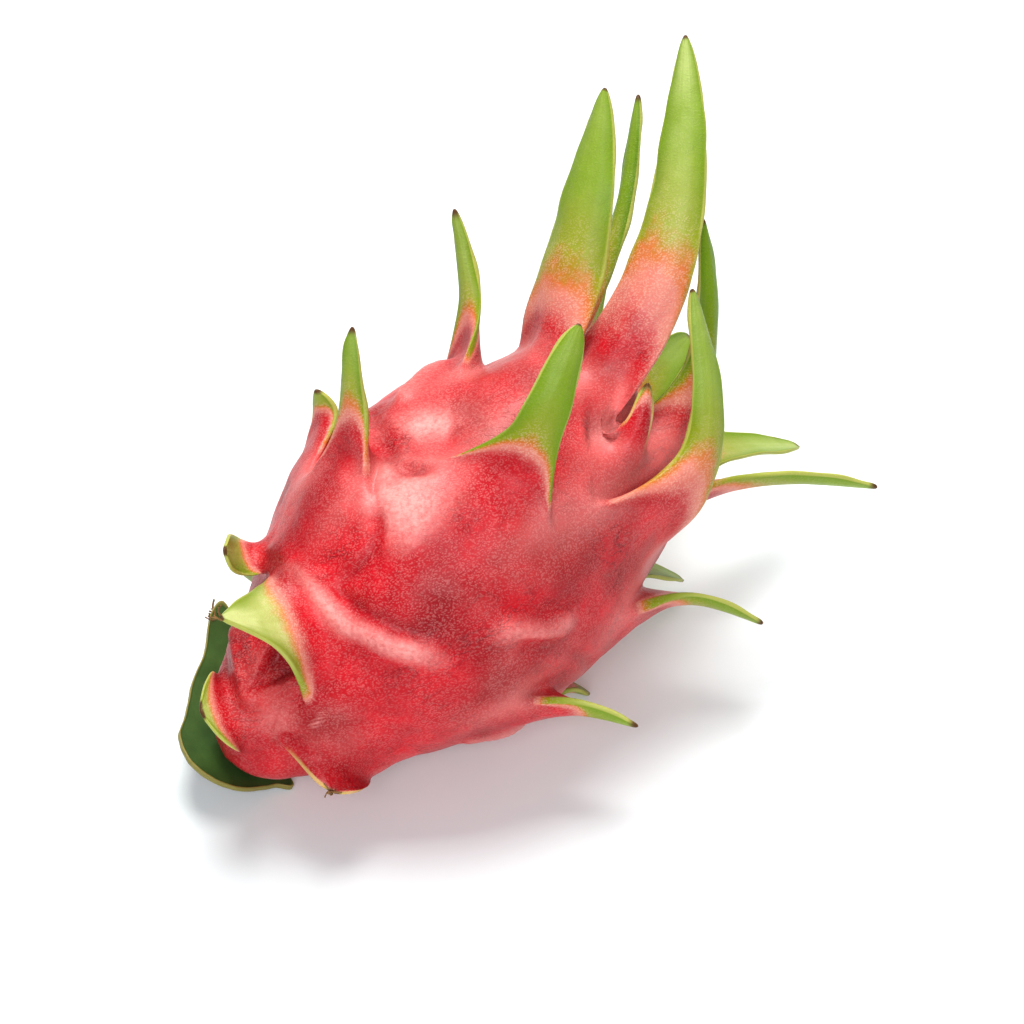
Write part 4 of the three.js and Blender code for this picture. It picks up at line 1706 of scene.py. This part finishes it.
@dataclass(frozen=True)
class StemSkin:
    """Cactus stem skin: dark green and waxy, with a dried corky margin."""

    name: str = "cactus_stem_skin"
    dark: str = "#24401c"
    light: str = "#55783a"
    cork: str = "#8c8444"
    # painted shade: the colour of the underside
    under: str = "#4b2a1c"
    patch: float = 9.0  # mm
    grain: float = 1.1  # mm
    corky_from: tuple[float, float] = (0.965, 0.99)
    roughness: float = 0.5

    def material(self) -> bpy.types.Material:
        """Build the material.

        Returns:
            The stem skin.
        """
        made = empty_material(self.name)
        tree = made.node_tree
        add = partial(add_node, tree)
        place = add(COORDINATES, output="Object")
        links = {"Vector": place, "Scale": 1 / (self.patch * MM), "Detail": 4.0}
        cloud = add(NOISE, None, links)
        under = add(ATTRIBUTE, {"attribute_name": "under"}, output="Fac")
        rim = add(ATTRIBUTE, {"attribute_name": "rim"}, output="Fac")
        low, high = self.corky_from
        corky = add(MAP_RANGE, None, {"Value": rim, "From Min": low, "From Max": high})
        # painted shade: the underside is painted dark brown-maroon
        layers = ((cloud, 1.0, self.light), (under, 1.0, self.under), (corky, 1.0, self.cork))
        links = {"Vector": place, "Scale": 1 / (self.grain * MM), "Detail": 3.0}
        links = {"Height": add(NOISE, None, links), "Strength": 0.4, "Distance": 0.2 * MM}
        links = {
            "Base Color": lay_over(tree, linear(self.dark), layers),
            "Roughness": self.roughness,
            "Normal": add(BUMP, None, links),
            "IOR": 1.45,
        }
        add(OUTPUT, None, {"Surface": add(PRINCIPLED, None, links)})
        return made


@dataclass(frozen=True)
class DryFibre:
    """Withered plant fibre: dull brown, paler where it has frayed."""

    name: str = "withered_plant_fibre"
    dark: str = "#4a3019"
    light: str = "#a07a48"
    patch: float = 1.8  # mm
    roughness: float = 0.85

    def material(self) -> bpy.types.Material:
        """Build the material.

        Returns:
            The fibre.
        """
        made = empty_material(self.name)
        tree = made.node_tree
        add = partial(add_node, tree)
        place = add(COORDINATES, output="Object")
        links = {"Vector": place, "Scale": 1 / (self.patch * MM), "Detail": 3.0}
        cloud = add(NOISE, None, links)
        links = {"Height": cloud, "Strength": 0.5, "Distance": 0.2 * MM}
        links = {
            "Base Color": lay_over(tree, linear(self.dark), ((cloud, 1.0, self.light),)),
            "Roughness": self.roughness,
            "Normal": add(BUMP, None, links),
        }
        add(OUTPUT, None, {"Surface": add(PRINCIPLED, None, links)})
        return made


@dataclass(frozen=True)
class Laminate:
    """Matt white laminate of the table top, which glows a little where little light falls."""

    name: str = "matt_white_laminate"
    white: str = "#dfe5e6"
    glow: float = 0.11
    grain: float = 8.9  # mm
    roughness: tuple[float, float] = (0.6, 0.75)

    def material(self) -> bpy.types.Material:
        """Build the material.

        Returns:
            The laminate.
        """
        made = empty_material(self.name)
        add = partial(add_node, made.node_tree)
        least, most = self.roughness
        place = add(COORDINATES, output="Object")
        grain = add(NOISE, None, {"Vector": place, "Scale": 1 / (self.grain * MM)})
        links = {
            "Base Color": linear(self.white),
            "Roughness": add(MAP_RANGE, None, {"Value": grain, "To Min": least, "To Max": most}),
            "Specular IOR Level": 0.2,
            "Emission Color": linear("#ffffff"),
            "Emission Strength": self.glow,
        }
        add(OUTPUT, None, {"Surface": add(PRINCIPLED, None, links)})
        return made


# ---- the studio -----------------------------------------------------------------------------


@dataclass(frozen=True)
class Lamp:
    """A soft square light that faces the fruit. Lengths are metres and power is in watts."""

    name: str
    place: tuple[float, float, float]
    size: float
    power: float
    colour: str
    aim: tuple[float, float, float] = (0.02, 0.0, 0.06)

    def hang(self) -> None:
        """Hang the light."""
        data = bpy.data.lights.new(self.name, "AREA")
        data.size = self.size
        data.energy = self.power
        data.color = linear(self.colour)[:3]
        made = bpy.data.objects.new(self.name, data)
        bpy.context.scene.collection.objects.link(made)
        turn = (Vector(self.aim) - Vector(self.place)).to_track_quat("-Z", "Y")
        made.matrix_world = Matrix.Translation(self.place) @ turn.to_matrix().to_4x4()


@dataclass
class Studio:
    """Pale floor, soft lights and the camera.

    look_station is the point of the fruit's axis that falls on look_pixel.
    """

    body: PlainBody
    azimuth: float = -35.5
    elevation: float = 44.0
    distance: float = 739.0
    focal: float = 100.0
    sensor: float = 36.0
    image: int = 1024
    look_station: float = 72.1
    look_pixel: tuple[float, float] = (436.0, 574.0)
    floor_half: float = 4000.0
    lamps: tuple[Lamp, ...] = (
        Lamp("key", (0.2, 0.34, 1.15), 0.55, 14.5, "#fffefb"),
        Lamp("back", (0.7, 0.45, 1.0), 0.6, 3.5, "#fffefb"),
        Lamp("fill", (-0.7, -0.9, 0.9), 0.8, 13.5, "#fbfcff"),
    )
    room: str = "#fbfcff"
    room_strength: float = 0.3
    gamma: float = 0.87

    def camera(self) -> None:
        """Place the camera so that a point of the fruit's axis falls on its pixel."""
        a, e = math.radians(self.azimuth), math.radians(self.elevation)
        forward = np.array([-math.sin(a) * math.cos(e), math.cos(a) * math.cos(e), -math.sin(e)])
        right = np.array([math.cos(a), math.sin(a), 0.0])
        up = np.cross(right, forward)
        per_mm = self.focal / self.sensor * self.image / self.distance
        across = (self.look_pixel[0] - self.image / 2) / per_mm
        down = (self.look_pixel[1] - self.image / 2) / per_mm
        look = self.body.scar + self.body.axis * self.look_station
        place = look - forward * self.distance - right * across + up * down
        data = bpy.data.cameras.new("camera")
        data.lens = self.focal
        data.sensor_width = self.sensor
        data.clip_start, data.clip_end = 0.05, 20
        made = bpy.data.objects.new("camera", data)
        bpy.context.scene.collection.objects.link(made)
        turn = Matrix([right, up, -forward]).transposed().to_4x4()
        made.matrix_world = Matrix.Translation(Vector(place * MM)) @ turn
        bpy.context.scene.camera = made

    def floor(self) -> None:
        """Lay the table top, which isn't part of the object."""
        half = self.floor_half
        corners = np.array([[-half, -half, 0], [half, -half, 0], [half, half, 0], [-half, half, 0]])
        made = mesh_object("floor", corners, [(0, 1, 2, 3)])
        made.data.materials.append(Laminate().material())

    def build(self) -> None:
        """Set up camera, floor, lights and the white room around them."""
        self.camera()
        self.floor()
        for lamp in self.lamps:
            lamp.hang()
        world = bpy.data.worlds.new("white_room")
        bpy.context.scene.world = world
        world.use_nodes = True
        background = world.node_tree.nodes["Background"]
        background.inputs["Color"].default_value = linear(self.room)
        background.inputs["Strength"].default_value = self.room_strength
        bpy.context.scene.view_settings.view_transform = "Standard"
        bpy.context.scene.view_settings.gamma = self.gamma


# ---- the object -----------------------------------------------------------------------------


def main() -> None:
    """Build the dressed fruit and its studio."""
    logging.basicConfig(level=logging.INFO, format="%(name)s: %(message)s")
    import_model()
    body = PlainBody()
    peel = Peel(body)
    peel.dress(peel.build(), PeelSkin().material())
    stem = StemPiece()
    stem.dress(stem.build(), StemSkin().material())
    fibre = DryFibre().material()
    for threads in (withered_flower(body), dry_scraps(body, stem)):
        threads.dress(threads.build(fibre), fibre)
    Studio(body).build()


if __name__ == "__main__":
    main()
